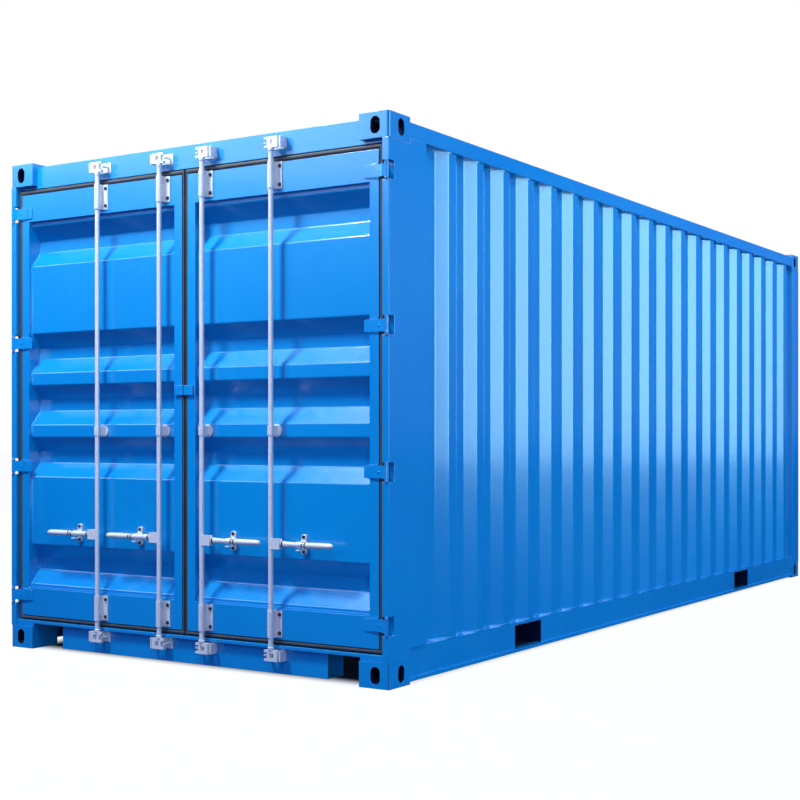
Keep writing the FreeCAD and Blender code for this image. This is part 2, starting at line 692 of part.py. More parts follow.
def rod_bearings():
    """Upper and lower bearings and the middle guide of the right-hand rods."""
    shapes = []
    guide_z = LEAF_MIDDLE - GUIDE_DROP - GUIDE_LENGTH / 2
    for x in ROD_POSITIONS.values():
        for z in (LEAF_BOTTOM + LOWER_SLEEVE_RISE, LEAF_TOP - UPPER_SLEEVE_DROP):
            shapes.append(bearing(x, z, SLEEVE_LENGTH, LEAF_Y, SADDLE_HALF_WIDTH))
        shapes.append(bearing(x, guide_z, GUIDE_LENGTH, PANEL_Y, GUIDE_HALF_WIDTH))
    return shapes


def cam(x, z):
    """Cam head: a block with a square window and two prongs towards the middle."""
    half = CAM_HEIGHT / 2
    y0 = ROD_Y - CAM_THICK / 2
    y1 = ROD_Y + CAM_THICK / 2
    block = box(x - CAM_TO_CENTRE, x + CAM_TO_HINGE, y0, y1, z - half, z + half)
    window = box(
        x, x + CAM_WINDOW, y0 - OVER, y1 + OVER, z - CAM_WINDOW / 2, z + CAM_WINDOW / 2,
    )
    mouth = half - CAM_PRONG_THICK
    slot = box(
        x - CAM_TO_CENTRE - OVER, x - CAM_TO_CENTRE + CAM_PRONG, y0 - OVER, y1 + OVER,
        z - mouth, z + mouth,
    )
    return block.cut(window).cut(slot)


def clevis(x):
    """Fork on the rod that holds the handle, with its cross pin."""
    z0 = HANDLE_HEIGHT - CLEVIS_HEIGHT / 2
    z1 = HANDLE_HEIGHT + CLEVIS_HEIGHT / 2
    half = CLEVIS_SLOT / 2 + CLEVIS_PLATE
    block = box(x, x + CLEVIS_REACH, ROD_Y - half, ROD_Y + half, z0, z1)
    slot = box(
        x + ROD_RADIUS + CLEVIS_WEB, x + CLEVIS_REACH + OVER,
        ROD_Y - CLEVIS_SLOT / 2, ROD_Y + CLEVIS_SLOT / 2, z0 - OVER, z1 + OVER,
    )
    pin = Part.makeCylinder(
        PIVOT_RADIUS, 2 * half, Vector(x + PIVOT_REACH, ROD_Y - half, HANDLE_HEIGHT),
        Vector(0, 1, 0),
    )
    return joined([block.cut(slot), pin])


def lock_rod(x):
    """Rod with a cam head at each end and the fork for its handle."""
    inside = CAM_WINDOW / 2 + CAM_NECK
    rod = upright(ROD_RADIUS, x, ROD_Y, CAM_LOW + inside, CAM_HIGH - inside)
    return joined([rod, cam(x, CAM_LOW), cam(x, CAM_HIGH), clevis(x)])


def handle(x):
    """Tongue on the fork's pin, a collar and a long round grip with a rounded tip."""
    pivot_x = x + PIVOT_REACH
    tongue = box(
        pivot_x, x + TONGUE_END, ROD_Y - TONGUE_THICK / 2, ROD_Y + TONGUE_THICK / 2,
        HANDLE_HEIGHT - TONGUE_HEIGHT / 2, HANDLE_HEIGHT + TONGUE_HEIGHT / 2,
    )
    eye = Part.makeCylinder(
        TONGUE_HEIGHT / 2, TONGUE_THICK,
        Vector(pivot_x, ROD_Y - TONGUE_THICK / 2, HANDLE_HEIGHT), Vector(0, 1, 0),
    )
    bore = Part.makeCylinder(
        PIVOT_RADIUS + PIN_CLEARANCE, TONGUE_THICK + 2 * OVER,
        Vector(pivot_x, ROD_Y - TONGUE_THICK / 2 - OVER, HANDLE_HEIGHT), Vector(0, 1, 0),
    )
    grip_start = x + TONGUE_END - GRIP_LAP
    tip = x + HANDLE_LENGTH - GRIP_RADIUS
    grip = Part.makeCylinder(
        GRIP_RADIUS, tip - grip_start, Vector(grip_start, ROD_Y, HANDLE_HEIGHT), Vector(1, 0, 0),
    )
    end = Part.makeSphere(GRIP_RADIUS, Vector(tip, ROD_Y, HANDLE_HEIGHT))
    return joined([tongue, eye, grip, end]).cut(bore)


def retainer(x):
    """Oval plate on the leaf with a ledge under the handle, open above and in front."""
    centre = x + RETAINER_REACH
    radius = RETAINER_HALF_WIDTH
    reach = RETAINER_HEIGHT / 2 - radius
    y0 = PANEL_Y - RETAINER_THICK
    plate = [box(
        centre - radius, centre + radius, y0, PANEL_Y,
        HANDLE_HEIGHT - reach, HANDLE_HEIGHT + reach,
    )]
    for side in (-1, 1):
        plate.append(Part.makeCylinder(
            radius, RETAINER_THICK, Vector(centre, y0, HANDLE_HEIGHT + side * reach),
            Vector(0, 1, 0),
        ))
    ledge_top = HANDLE_HEIGHT - GRIP_RADIUS - LEDGE_GAP
    ledge = box(
        centre - radius / 2, centre + radius / 2, ROD_Y - GRIP_RADIUS, y0 + OVER,
        ledge_top - LEDGE_THICK, ledge_top,
    )
    return joined(plate + [ledge])


def keeper(x, z, face_y):
    """Base plate with an ear beside the cam and a finger between its prongs."""
    half = CAM_HEIGHT / 2
    ear_x = x + CAM_TO_HINGE + KEEPER_EAR_GAP
    front = ROD_Y - KEEPER_FRONT
    base = box(
        x - CAM_TO_CENTRE - KEEPER_TAIL, ear_x + KEEPER_EAR, face_y - KEEPER_PLATE, face_y,
        z - half, z + half,
    )
    ear = box(ear_x, ear_x + KEEPER_EAR, front, face_y, z - half, z + half)
    finger_x = x - CAM_TO_CENTRE - KEEPER_FINGER_SET
    rise = KEEPER_FINGER_HEIGHT / 2
    finger = box(finger_x, finger_x + KEEPER_FINGER, front, face_y, z - rise, z + rise)
    return joined([base, ear, finger])


def cam_keepers():
    """Right-hand keepers on the sill and on the header."""
    shapes = [keeper(x, CAM_LOW, SILL_Y) for x in ROD_POSITIONS.values()]
    return shapes + [keeper(x, CAM_HIGH, HEADER_Y) for x in ROD_POSITIONS.values()]


# ---------------------------------------------------------------- nodes
def both_sides(shapes):
    """The right-hand shapes and their mirror images."""
    return shapes + [left_of(shape) for shape in shapes]


os.makedirs("parts", exist_ok=True)

save("corner_castings_bottom", both_sides(CASTINGS[-1]))
save("corner_castings_top", both_sides(CASTINGS[1]))
save("door_header", door_header())
save("door_sill", door_sill())
save("rear_bottom_rail", rear_bottom_rail())
save("rear_top_rail", rear_top_rail())
save("rear_wall", rear_wall())
save("roof_panel", roof_panel())
save("roof_end_plates", roof_end_plates())
save("floor_boards", floor_boards())
save("cross_members", cross_members())
save("fork_pockets", [fork_pocket(y) for y in (-POCKET_Y, POCKET_Y)])
save("cam_keepers", both_sides(cam_keepers()))
save("hinge_pins", both_sides(hinge_pins()))

RIGHT_HAND = {
    "door_post": door_post(),
    "rear_post": rear_post(),
    "top_side_rail": top_side_rail(),
    "bottom_side_rail": bottom_side_rail(),
    "side_wall": side_wall(),
    "door_frame": leaf_frame(),
    "door_panel": leaf_panel(),
    "door_seal": leaf_seal(),
    "door_hinges": [hinge(z) for z in HINGE_HEIGHTS],
    "door_middle_lug": middle_lug(),
    "rod_bearings": rod_bearings(),
    "handle_retainers": [retainer(x) for x in ROD_POSITIONS.values()],
}
for place, rod_x in ROD_POSITIONS.items():
    RIGHT_HAND["lock_rod_" + place] = lock_rod(rod_x)
    RIGHT_HAND["handle_" + place] = handle(rod_x)

for name, made in RIGHT_HAND.items():
    right = made if isinstance(made, list) else [made]
    save(name + "_right", right)
    save(name + "_left", [left_of(shape) for shape in right])
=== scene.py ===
# %% [markdown]
# # A twenty-foot steel container, from frame to finish
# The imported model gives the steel: posts, rails, corrugated sheets, two door leaves and
# their locking gear, each on the body that it moves with. This lesson puts the finish on
# it: softened edges, seals, bolts, welds, paint and light. The frame is loaded first,
# because every piece takes its place from it and nothing is placed by eye.

# %% Load the frame
import json
import math

import bpy
from mathutils import Matrix, Vector

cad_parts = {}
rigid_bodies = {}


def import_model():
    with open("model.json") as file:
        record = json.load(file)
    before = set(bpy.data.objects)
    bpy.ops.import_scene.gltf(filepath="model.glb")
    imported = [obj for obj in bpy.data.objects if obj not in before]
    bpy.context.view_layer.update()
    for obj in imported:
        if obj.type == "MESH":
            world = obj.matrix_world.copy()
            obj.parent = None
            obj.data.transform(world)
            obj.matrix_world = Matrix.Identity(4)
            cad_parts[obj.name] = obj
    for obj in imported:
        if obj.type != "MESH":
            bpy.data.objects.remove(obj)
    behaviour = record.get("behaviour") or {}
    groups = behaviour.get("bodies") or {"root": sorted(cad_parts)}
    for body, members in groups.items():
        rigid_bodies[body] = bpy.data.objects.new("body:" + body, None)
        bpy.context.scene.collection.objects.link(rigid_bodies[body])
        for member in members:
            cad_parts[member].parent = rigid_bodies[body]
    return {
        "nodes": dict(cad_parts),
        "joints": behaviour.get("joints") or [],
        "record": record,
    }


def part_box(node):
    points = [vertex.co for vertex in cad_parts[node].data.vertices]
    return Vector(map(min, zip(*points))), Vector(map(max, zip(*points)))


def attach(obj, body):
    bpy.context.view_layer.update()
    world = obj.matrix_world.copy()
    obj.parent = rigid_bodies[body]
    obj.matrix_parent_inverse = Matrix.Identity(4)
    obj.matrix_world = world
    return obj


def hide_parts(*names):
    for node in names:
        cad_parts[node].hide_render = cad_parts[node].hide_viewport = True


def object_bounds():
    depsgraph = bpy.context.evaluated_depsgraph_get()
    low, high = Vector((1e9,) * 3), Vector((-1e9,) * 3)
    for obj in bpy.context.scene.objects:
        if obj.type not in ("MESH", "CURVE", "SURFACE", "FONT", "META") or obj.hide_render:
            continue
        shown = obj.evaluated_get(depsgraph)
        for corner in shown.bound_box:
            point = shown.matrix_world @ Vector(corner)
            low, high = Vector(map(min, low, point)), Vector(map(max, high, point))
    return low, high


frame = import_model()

NODES = frame["nodes"]
BODY_OF = {
    node: body
    for body, members in frame["record"]["behaviour"]["bodies"].items()
    for node in members
}
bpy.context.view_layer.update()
SIDES = {"right": 1, "left": -1}

# %% [markdown]
# ## The tools used on every piece
# A piece starts as a primitive or as a copy of a node, is shaped in edit mode, and ends at
# the origin with its place in its mesh. Operators act on whatever is selected, so each
# piece begins with everything deselected, and faces are picked in code by where they are.

# %% Picking and finishing
MM = 0.001
SLIVER = 0.01 * MM


def only(piece):
    """Make one object the selected and active one."""
    if bpy.context.object and bpy.context.object.mode != "OBJECT":
        bpy.ops.object.mode_set(mode="OBJECT")
    bpy.ops.object.select_all(action="DESELECT")
    piece.select_set(True)
    bpy.context.view_layer.objects.active = piece
    return piece


def applied(piece):
    """Put the object's place into its mesh."""
    only(piece)
    bpy.ops.object.transform_apply(location=True, rotation=True, scale=True)
    return piece


def edit(piece, *steps):
    """Run edit-mode steps, starting with the whole mesh selected."""
    only(piece)
    bpy.ops.object.mode_set(mode="EDIT")
    bpy.ops.mesh.select_all(action="SELECT")
    for step in steps:
        step()
    bpy.ops.object.mode_set(mode="OBJECT")
    return piece


def pick_faces(piece, test):
    """Select the faces whose centre and normal pass a test, ready for edit mode."""
    only(piece)
    bpy.ops.object.mode_set(mode="EDIT")
    bpy.ops.mesh.select_all(action="DESELECT")
    bpy.ops.mesh.select_mode(type="FACE")
    bpy.ops.object.mode_set(mode="OBJECT")
    for face in piece.data.polygons:
        face.select = test(face.center, face.normal)
    bpy.ops.object.mode_set(mode="EDIT")


def back_to_object():
    """Leave edit mode."""
    bpy.ops.object.mode_set(mode="OBJECT")


def modified(piece, kind, **values):
    """Add one modifier, set it and apply it."""
    only(piece)
    modifier = piece.modifiers.new(kind.lower(), kind)
    for key, value in values.items():
        setattr(modifier, key, value)
    bpy.ops.object.modifier_apply(modifier=modifier.name)
    return piece


def smoothed(piece):
    """Smooth the rounded edges and keep the flats flat."""
    only(piece)
    bpy.ops.object.shade_smooth_by_angle(angle=math.radians(40))
    return modified(piece, "WEIGHTED_NORMAL", keep_sharp=True, weight=100)


def softened(piece, width, segments=2, angle=30):
    """Round the edges sharper than an angle."""
    modified(
        piece, "BEVEL", width=width, segments=segments, limit_method="ANGLE",
        angle_limit=math.radians(angle), use_clamp_overlap=True,
    )
    edit(
        piece,
        lambda: bpy.ops.mesh.remove_doubles(threshold=SLIVER),
        lambda: bpy.ops.mesh.dissolve_degenerate(threshold=SLIVER),
    )
    return smoothed(piece)


def start_box(name, low, high):
    """A block between two corners, in metres."""
    bpy.ops.object.select_all(action="DESELECT")
    middle = [(a + b) / 2 for a, b in zip(low, high)]
    size = [b - a for a, b in zip(low, high)]
    bpy.ops.mesh.primitive_cube_add(size=1, location=middle)
    piece = bpy.context.object
    piece.name = name
    piece.scale = size
    return applied(piece)


TURN_TO = {"x": (0, math.pi / 2, 0), "y": (math.pi / 2, 0, 0), "z": (0, 0, 0)}


def start_rod(name, centre, radius, depth, axis="z", sides=32):
    """A round bar about a centre, along one axis."""
    bpy.ops.object.select_all(action="DESELECT")
    bpy.ops.mesh.primitive_cylinder_add(
        vertices=sides, radius=radius, depth=depth, location=centre, rotation=TURN_TO[axis],
    )
    piece = bpy.context.object
    piece.name = name
    return applied(piece)


def joined(name, pieces):
    """One object from several."""
    bpy.ops.object.select_all(action="DESELECT")
    for piece in pieces:
        piece.select_set(True)
    bpy.context.view_layer.objects.active = pieces[0]
    bpy.ops.object.join()
    pieces[0].name = name
    return pieces[0]


def copied(piece, name, shift=(0, 0, 0)):
    """A copy with its own mesh, moved."""
    twin = piece.copy()
    twin.data = piece.data.copy()
    twin.name = name
    twin.parent = None
    for key in list(twin.keys()):
        del twin[key]
    twin.hide_render = twin.hide_viewport = False
    bpy.context.scene.collection.objects.link(twin)
    twin.data.transform(Matrix.Translation(shift))
    return twin


def placed(piece, body, material):
    """Give a finished piece its body and its material."""
    piece.data.materials.clear()
    piece.data.materials.append(material)
    for face in piece.data.polygons:
        face.material_index = 0
    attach(piece, body)
    return piece


# %% [markdown]
# ## Node groups that the finishes share
# Paint, zinc and rubber all vary in the same few ways: broad patches, fine grain, worn
# edges, which on the paint also carry a painted sheen highlight, and dust that settles low
# down and dulls the gloss. Each is one node group that reads Object coordinates in metres
# and puts out a mask or a height for the material to use.

# %% Group helpers
def new_group(name, inputs, outputs):
    """An empty shader group with named float inputs and outputs."""
    group = bpy.data.node_groups.new(name, "ShaderNodeTree")
    for label, default in inputs.items():
        socket = group.interface.new_socket(label, in_out="INPUT", socket_type="NodeSocketFloat")
        socket.default_value = default
    for label in outputs:
        group.interface.new_socket(label, in_out="OUTPUT", socket_type="NodeSocketFloat")
    return group, group.nodes.new("NodeGroupInput"), group.nodes.new("NodeGroupOutput")


def add(tree, kind, **values):
    """Add a node and set its properties or its input sockets by name."""
    node = tree.nodes.new("ShaderNode" + kind)
    for key, value in values.items():
        if key in node.inputs:
            node.inputs[key].default_value = value
        else:
            setattr(node, key, value)
    return node


def math_node(tree, operation, first, second=None, clamp=False):
    """A Math node fed by sockets or numbers."""
    node = tree.nodes.new("ShaderNodeMath")
    node.operation = operation
    node.use_clamp = clamp
    for slot, value in enumerate((first, second)):
        if value is None:
            continue
        if isinstance(value, (int, float)):
            node.inputs[slot].default_value = value
        else:
            tree.links.new(value, node.inputs[slot])
    return node.outputs[0]


def ramp_to(tree, value, low, high):
    """Zero below low, one above high, smooth between."""
    node = add(tree, "MapRange", interpolation_type="SMOOTHSTEP", clamp=True)
    node.inputs["From Min"].default_value = low
    node.inputs["From Max"].default_value = high
    tree.links.new(value, node.inputs["Value"])
    return node.outputs["Result"]


def noise(tree, vector, scale, detail=3.0, rough=0.55):
    """Fractal noise, its scale a number or a socket."""
    node = add(tree, "TexNoise", Detail=detail, Roughness=rough)
    if isinstance(scale, (int, float)):
        node.inputs["Scale"].default_value = scale
    else:
        tree.links.new(scale, node.inputs["Scale"])
    tree.links.new(vector, node.inputs["Vector"])
    return node.outputs["Fac"]


def stretched(tree, scale):
    """Object coordinates with each axis scaled by its own amount."""
    coordinates = add(tree, "TexCoord")
    mapping = add(tree, "Mapping", Scale=scale)
    tree.links.new(coordinates.outputs["Object"], mapping.inputs["Vector"])
    return mapping.outputs["Vector"]


# %% Worn edges and painted edge sheen
wear_and_sheen_group, wear_and_sheen_in, wear_and_sheen_out = new_group(
    "edge_wear", {"Radius": 0.004, "Grain": 40.0, "Spread": 0.5}, ["Mask"],
)
rounded = add(wear_and_sheen_group, "Bevel", samples=4)
wear_and_sheen_group.links.new(wear_and_sheen_in.outputs["Radius"], rounded.inputs["Radius"])
surface = add(wear_and_sheen_group, "NewGeometry")
turned = add(wear_and_sheen_group, "VectorMath", operation="DOT_PRODUCT")
wear_and_sheen_group.links.new(rounded.outputs["Normal"], turned.inputs[0])
wear_and_sheen_group.links.new(surface.outputs["Normal"], turned.inputs[1])
away = math_node(wear_and_sheen_group, "SUBTRACT", 1.0, turned.outputs["Value"])
edge = ramp_to(wear_and_sheen_group, away, 0.02, 0.16)
grain = noise(wear_and_sheen_group, stretched(wear_and_sheen_group, (1, 1, 1)), wear_and_sheen_in.outputs["Grain"], 5.0, 0.65)
spread = math_node(wear_and_sheen_group, "SUBTRACT", grain, math_node(
    wear_and_sheen_group, "SUBTRACT", 0.9, wear_and_sheen_in.outputs["Spread"]))
broken = ramp_to(wear_and_sheen_group, spread, 0.0, 0.25)
wear_and_sheen_group.links.new(math_node(wear_and_sheen_group, "MULTIPLY", edge, broken), wear_and_sheen_out.inputs["Mask"])
print("edge_wear nodes:", len(wear_and_sheen_group.nodes))

# %% Patches, streaks and dust
patch_group, patch_in, patch_out = new_group(
    "patches", {"Broad": 0.7, "Fine": 9.0}, ["Broad", "Fine", "Streak"],
)
plain = stretched(patch_group, (1, 1, 1))
drawn = stretched(patch_group, (9, 9, 0.7))
patch_group.links.new(
    noise(patch_group, plain, patch_in.outputs["Broad"], 2.0), patch_out.inputs["Broad"])
patch_group.links.new(
    noise(patch_group, plain, patch_in.outputs["Fine"], 6.0, 0.6), patch_out.inputs["Fine"])
patch_group.links.new(noise(patch_group, drawn, 1.0, 4.0), patch_out.inputs["Streak"])

dust_group, dust_in, dust_out = new_group(
    "settled_dust", {"Height": 0.35, "Grain": 6.0}, ["Mask"],
)
where = add(dust_group, "TexCoord")
parts = add(dust_group, "SeparateXYZ")
dust_group.links.new(where.outputs["Object"], parts.inputs[0])
low_down = math_node(
    dust_group, "SUBTRACT", 1.0,
    math_node(dust_group, "DIVIDE", parts.outputs["Z"], dust_in.outputs["Height"]), clamp=True,
)
speckle = noise(
    dust_group, stretched(dust_group, (1, 1, 0.35)), dust_in.outputs["Grain"], 6.0, 0.7)
dust_group.links.new(
    math_node(dust_group, "MULTIPLY", low_down, ramp_to(dust_group, speckle, 0.4, 0.75)),
    dust_out.inputs["Mask"],
)
print("groups:", [group.name for group in bpy.data.node_groups])

# %% [markdown]
# ## Blue paint
# The container is sprayed in one glossy azure coat. Real spray paint is never one flat
# colour: it is a little deeper where it lies thick, pales in streaks under the rain, shows
# a fine orange peel in reflections, and wears to a lighter edge at corners and holes. That
# lighter edge is also a painted sheen highlight along the rounded edges. The thin sheets
# also bow slightly between their welds, which bends reflections.

# %% Material helpers
def new_material(name, **sockets):
    """A material with one Principled shader, constant sockets set on it."""
    material = bpy.data.materials.new(name)
    material.use_nodes = True
    tree = material.node_tree
    shader = tree.nodes["Principled BSDF"]
    for label, value in sockets.items():
        shader.inputs[label].default_value = value
    return material, tree, shader


def group_node(tree, group, **values):
    """Place a shared group in a material with its own values."""
    node = tree.nodes.new("ShaderNodeGroup")
    node.node_tree = group
    for label, value in values.items():
        node.inputs[label].default_value = value
    return node


def mixed(tree, factor, first, second):
    """Mix two colours, each a tuple or a socket."""
    node = tree.nodes.new("ShaderNodeMix")
    node.data_type = "RGBA"
    tree.links.new(factor, node.inputs["Factor"])
    for label, value in (("A", first), ("B", second)):
        socket = [s for s in node.inputs if s.name == label and s.type == "RGBA"][0]
        if isinstance(value, tuple):
            socket.default_value = (*value, 1.0)
        else:
            tree.links.new(value, socket)
    return [s for s in node.outputs if s.type == "RGBA"][0]


def bumped(tree, shader, heights, strength=1.0):
    """Chain of Bump nodes: (height socket, distance in metres) pairs."""
    normal = None
    for height, distance in heights:
        bump = add(tree, "Bump", Strength=strength, Distance=distance)
        tree.links.new(height, bump.inputs["Height"])
        if normal is not None:
            tree.links.new(normal, bump.inputs["Normal"])
        normal = bump.outputs["Normal"]
    tree.links.new(normal, shader.inputs["Normal"])


def scaled(tree, value, low, high):
    """A mask turned into a range of values."""
    node = add(tree, "MapRange")
    node.inputs["To Min"].default_value = low
    node.inputs["To Max"].default_value = high
    tree.links.new(value, node.inputs["Value"])
    return node.outputs["Result"]


# %% The paint
def painted(name, deep, light, edge_wear_and_sheen_colour, bow):
    """Glossy sprayed coat: bow is how far the sheet waves between its welds, in metres."""
    material, tree, shader = new_material(
        name, **{"Specular IOR Level": 0.8, "Coat Roughness": 0.10})
    patches = group_node(tree, patch_group, Broad=0.9, Fine=14.0)
    worn_and_sheen_edges = group_node(tree, wear_and_sheen_group, Radius=0.003, Grain=30.0, Spread=0.52)
    dust = group_node(tree, dust_group, Height=0.3, Grain=7.0)
    tone = ramp_to(tree, patches.outputs["Broad"], 0.3, 0.7)
    coat = mixed(tree, tone, deep, light)
    streak = ramp_to(tree, patches.outputs["Streak"], 0.5, 0.85)
    faded = math_node(tree, "MULTIPLY", streak, 0.04)
    coat = mixed(tree, faded, coat, (0.16, 0.42, 0.80))
    # Worn edges and painted sheen highlight: the edge mask pales the coat towards a lighter blue.
    coat = mixed(tree, math_node(tree, "MULTIPLY", worn_and_sheen_edges.outputs["Mask"], 0.30), coat, edge_wear_and_sheen_colour)
    tree.links.new(coat, shader.inputs["Base Color"])
    rough = scaled(tree, patches.outputs["Fine"], 0.17, 0.28)
    rough = math_node(tree, "ADD", rough, math_node(tree, "MULTIPLY", dust.outputs["Mask"], 0.12))
    tree.links.new(rough, shader.inputs["Roughness"])
    shader.inputs["Coat Weight"].default_value = 0.7
    peel = noise(tree, stretched(tree, (1, 1, 1)), 420.0, 2.0)
    bowed = noise(tree, stretched(tree, (1, 1, 1)), 2.2, 1.0)
    bumped(tree, shader, [(bowed, bow), (peel, 0.00012)])
    return material


BLUE_DEEP = (0.0003, 0.225, 0.555)
BLUE_LIGHT = (0.0006, 0.255, 0.590)
# The lighter blue of worn edges, which is also a painted sheen highlight on them.
BLUE_EDGE_WEAR_AND_SHEEN = (0.10, 0.42, 0.86)
frame_paint = painted("blue_paint_frame", BLUE_DEEP, BLUE_LIGHT, BLUE_EDGE_WEAR_AND_SHEEN, 0.0004)
sheet_paint = painted("blue_paint_sheet", BLUE_DEEP, BLUE_LIGHT, BLUE_EDGE_WEAR_AND_SHEEN, 0.0015)
# Painted shade: a near-black navy that stands for the shade inside the castings and pockets.
cavity_painted_shade, tree, shader = new_material(
    "blue_paint_cavity", **{"Specular IOR Level": 0.2, "Roughness": 0.85})
patches = group_node(tree, patch_group, Broad=4.0, Fine=40.0)
tree.links.new(
    mixed(tree, patches.outputs["Fine"], (0.0005, 0.004, 0.030), (0.001, 0.008, 0.055)),
    shader.inputs["Base Color"])
print("paint nodes:", len(frame_paint.node_tree.nodes))

# %% [markdown]
# ## Zinc, rubber and plywood
# The locking gear is hot-dip galvanised. Zinc freezes in flat crystals, the spangle, each
# a slightly different grey, over a metal that is bright but not mirror-like. The door seal
# is extruded rubber, and the floor is varnished plywood with a long grain.

# %% The zinc
zinc, tree, shader = new_material(
    "galvanised_steel", **{"Metallic": 0.20, "Specular IOR Level": 0.5})
patches = group_node(tree, patch_group, Broad=6.0, Fine=160.0)
worn_and_sheen_edges = group_node(tree, wear_and_sheen_group, Radius=0.002, Grain=80.0, Spread=0.6)
spangle = add(tree, "TexVoronoi", Scale=140.0)
tree.links.new(stretched(tree, (1, 1, 1)), spangle.inputs["Vector"])
crystal = add(tree, "SeparateColor")
tree.links.new(spangle.outputs["Color"], crystal.inputs[0])
grey = mixed(tree, crystal.outputs[0], (0.70, 0.71, 0.70), (0.82, 0.83, 0.82))
cloud = math_node(tree, "MULTIPLY", patches.outputs["Broad"], 0.25)
grey = mixed(tree, cloud, grey, (0.46, 0.48, 0.52))
rubbed = math_node(tree, "MULTIPLY", worn_and_sheen_edges.outputs["Mask"], 0.7)
grey = mixed(tree, rubbed, grey, (0.93, 0.94, 0.96))
tree.links.new(grey, shader.inputs["Base Color"])
tree.links.new(scaled(tree, patches.outputs["Fine"], 0.24, 0.38), shader.inputs["Roughness"])
bumped(tree, shader, [(patches.outputs["Fine"], 0.00005)])

# %% Blackened bolts
black_steel, tree, shader = new_material(
    "blackened_steel", **{"Metallic": 0.5, "Specular IOR Level": 0.5})
patches = group_node(tree, patch_group, Broad=8.0, Fine=200.0)
tree.links.new(
    mixed(tree, patches.outputs["Fine"], (0.020, 0.022, 0.027), (0.055, 0.058, 0.066)),
    shader.inputs["Base Color"])
tree.links.new(scaled(tree, patches.outputs["Fine"], 0.35, 0.55), shader.inputs["Roughness"])

# %% The rubber
def rubber(name, colour, dusty):
    """Matt extruded rubber with a dusty bloom."""
    material, tree, shader = new_material(name, **{"Specular IOR Level": 0.35})
    patches = group_node(tree, patch_group, Broad=5.0, Fine=90.0)
    bloom = ramp_to(tree, patches.outputs["Broad"], 0.35, 0.8)
    tree.links.new(
        mixed(tree, math_node(tree, "MULTIPLY", bloom, 0.5), colour, dusty),
        shader.inputs["Base Color"])
    tree.links.new(scaled(tree, patches.outputs["Fine"], 0.5, 0.75), shader.inputs["Roughness"])
    bumped(tree, shader, [(patches.outputs["Fine"], 0.0003)])
    return material


black_rubber = rubber("seal_rubber_black", (0.012, 0.012, 0.013), (0.035, 0.036, 0.040))
grey_rubber = rubber("seal_rubber_grey", (0.048, 0.052, 0.060), (0.085, 0.090, 0.102))

# %% The plywood
plywood, tree, shader = new_material("floor_plywood", **{"Specular IOR Level": 0.4})
long_grain = noise(tree, stretched(tree, (38, 1.6, 38)), 1.0, 8.0, 0.6)
figure = noise(tree, stretched(tree, (7, 0.5, 7)), 1.0, 3.0)
wood = mixed(
    tree, ramp_to(tree, long_grain, 0.3, 0.7), (0.115, 0.052, 0.024), (0.235, 0.120, 0.055))
wood = mixed(tree, ramp_to(tree, figure, 0.45, 0.75), wood, (0.075, 0.034, 0.017))
tree.links.new(wood, shader.inputs["Base Color"])
tree.links.new(scaled(tree, long_grain, 0.38, 0.62), shader.inputs["Roughness"])
bumped(tree, shader, [(long_grain, 0.0008)])
print("materials:", [material.name for material in bpy.data.materials])

# %% Every node gets its finish
SLOT_OF = {part["node"]: part["material_slot"] for part in frame["record"]["subparts"]}
SHEETS = ("side_wall", "rear_wall", "roof_panel", "door_panel")
for node, piece in NODES.items():
    finish = {
        "blue_paint": sheet_paint if node.startswith(SHEETS) else frame_paint,
        "galvanised_steel": zinc,
        "seal_rubber": black_rubber,
        "floor_plywood": plywood,
    }[SLOT_OF[node]]
    piece.data.materials.clear()
    piece.data.materials.append(finish)
print("finished nodes:", len(NODES))

# %% [markdown]
# ## Softened steel
# A steel frame has no knife edges: plate is sheared with a small burr and ground, bars are
# rolled with a radius, and castings are cast with a large one. A rounded edge catches a
# thin line of light, which is most of what makes steel look real. A node's mesh may not be
# changed, so each is copied, its loose triangles are merged and its flat faces made whole,
# and a Bevel modifier rounds the sharp edges. Points that the bevel leaves on top of each
# other are merged. The copy then stands for the node. The cavities of the corner castings
# and the fork pockets take a dark matt painted shade, because little light gets into them.

# %% Copies with rounded edges
def merged_copy(node, name):
    """A node's mesh as one closed shell with whole flat faces."""
    piece = copied(NODES[node], name)
    edit(
        piece,
        lambda: bpy.ops.mesh.remove_doubles(threshold=0.00002),
        lambda: bpy.ops.mesh.dissolve_limited(angle_limit=math.radians(0.6)),
    )
    return piece


def stands_for(piece, node, material):
    """Put a piece in a node's place, on its body and in its slot."""
    placed(piece, BODY_OF[node], material)
    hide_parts(node)
    return piece


EDGE_RADIUS = {
    "corner_castings_bottom": 4.0, "corner_castings_top": 4.0,
    "door_header": 3.0, "door_sill": 2.0, "rear_bottom_rail": 3.0, "rear_top_rail": 3.0,
    "door_post": 2.2, "rear_post": 5.0, "top_side_rail": 4.0, "bottom_side_rail": 1.4,
    "door_frame": 1.5, "door_hinges": 1.6, "door_middle_lug": 2.0,
    "rod_bearings": 1.2, "cam_keepers": 0.9, "fork_pockets": 1.2,
    "lock_rod_inner": 1.6, "lock_rod_outer": 1.6,
}
INSIDE = 3 * MM
casting_low, casting_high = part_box("corner_castings_bottom")
CASTING = Vector((162 * MM, 178 * MM, casting_high.z))
CASTING_ENDS = (casting_low.y, casting_low.y + CASTING.y,
                casting_high.y, casting_high.y - CASTING.y)


def painted_shade_inside(piece):
    """Give the faces that lie inside a corner casting the dark painted shade of its cavity."""
    piece.data.materials.append(cavity_painted_shade)
    low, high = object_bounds()
    for face in piece.data.polygons:
        across = min(high.x - abs(face.center.x), abs(face.center.x) - (high.x - CASTING.x))
        along_y = min(abs(face.center.y - end) for end in CASTING_ENDS)
        within = [face.center.z - low.z, high.z - face.center.z]
        within += [abs(face.center.z - z) for z in (CASTING.z, high.z - CASTING.z)]
        if min(across, along_y, *within) > INSIDE:
            face.material_index = 1


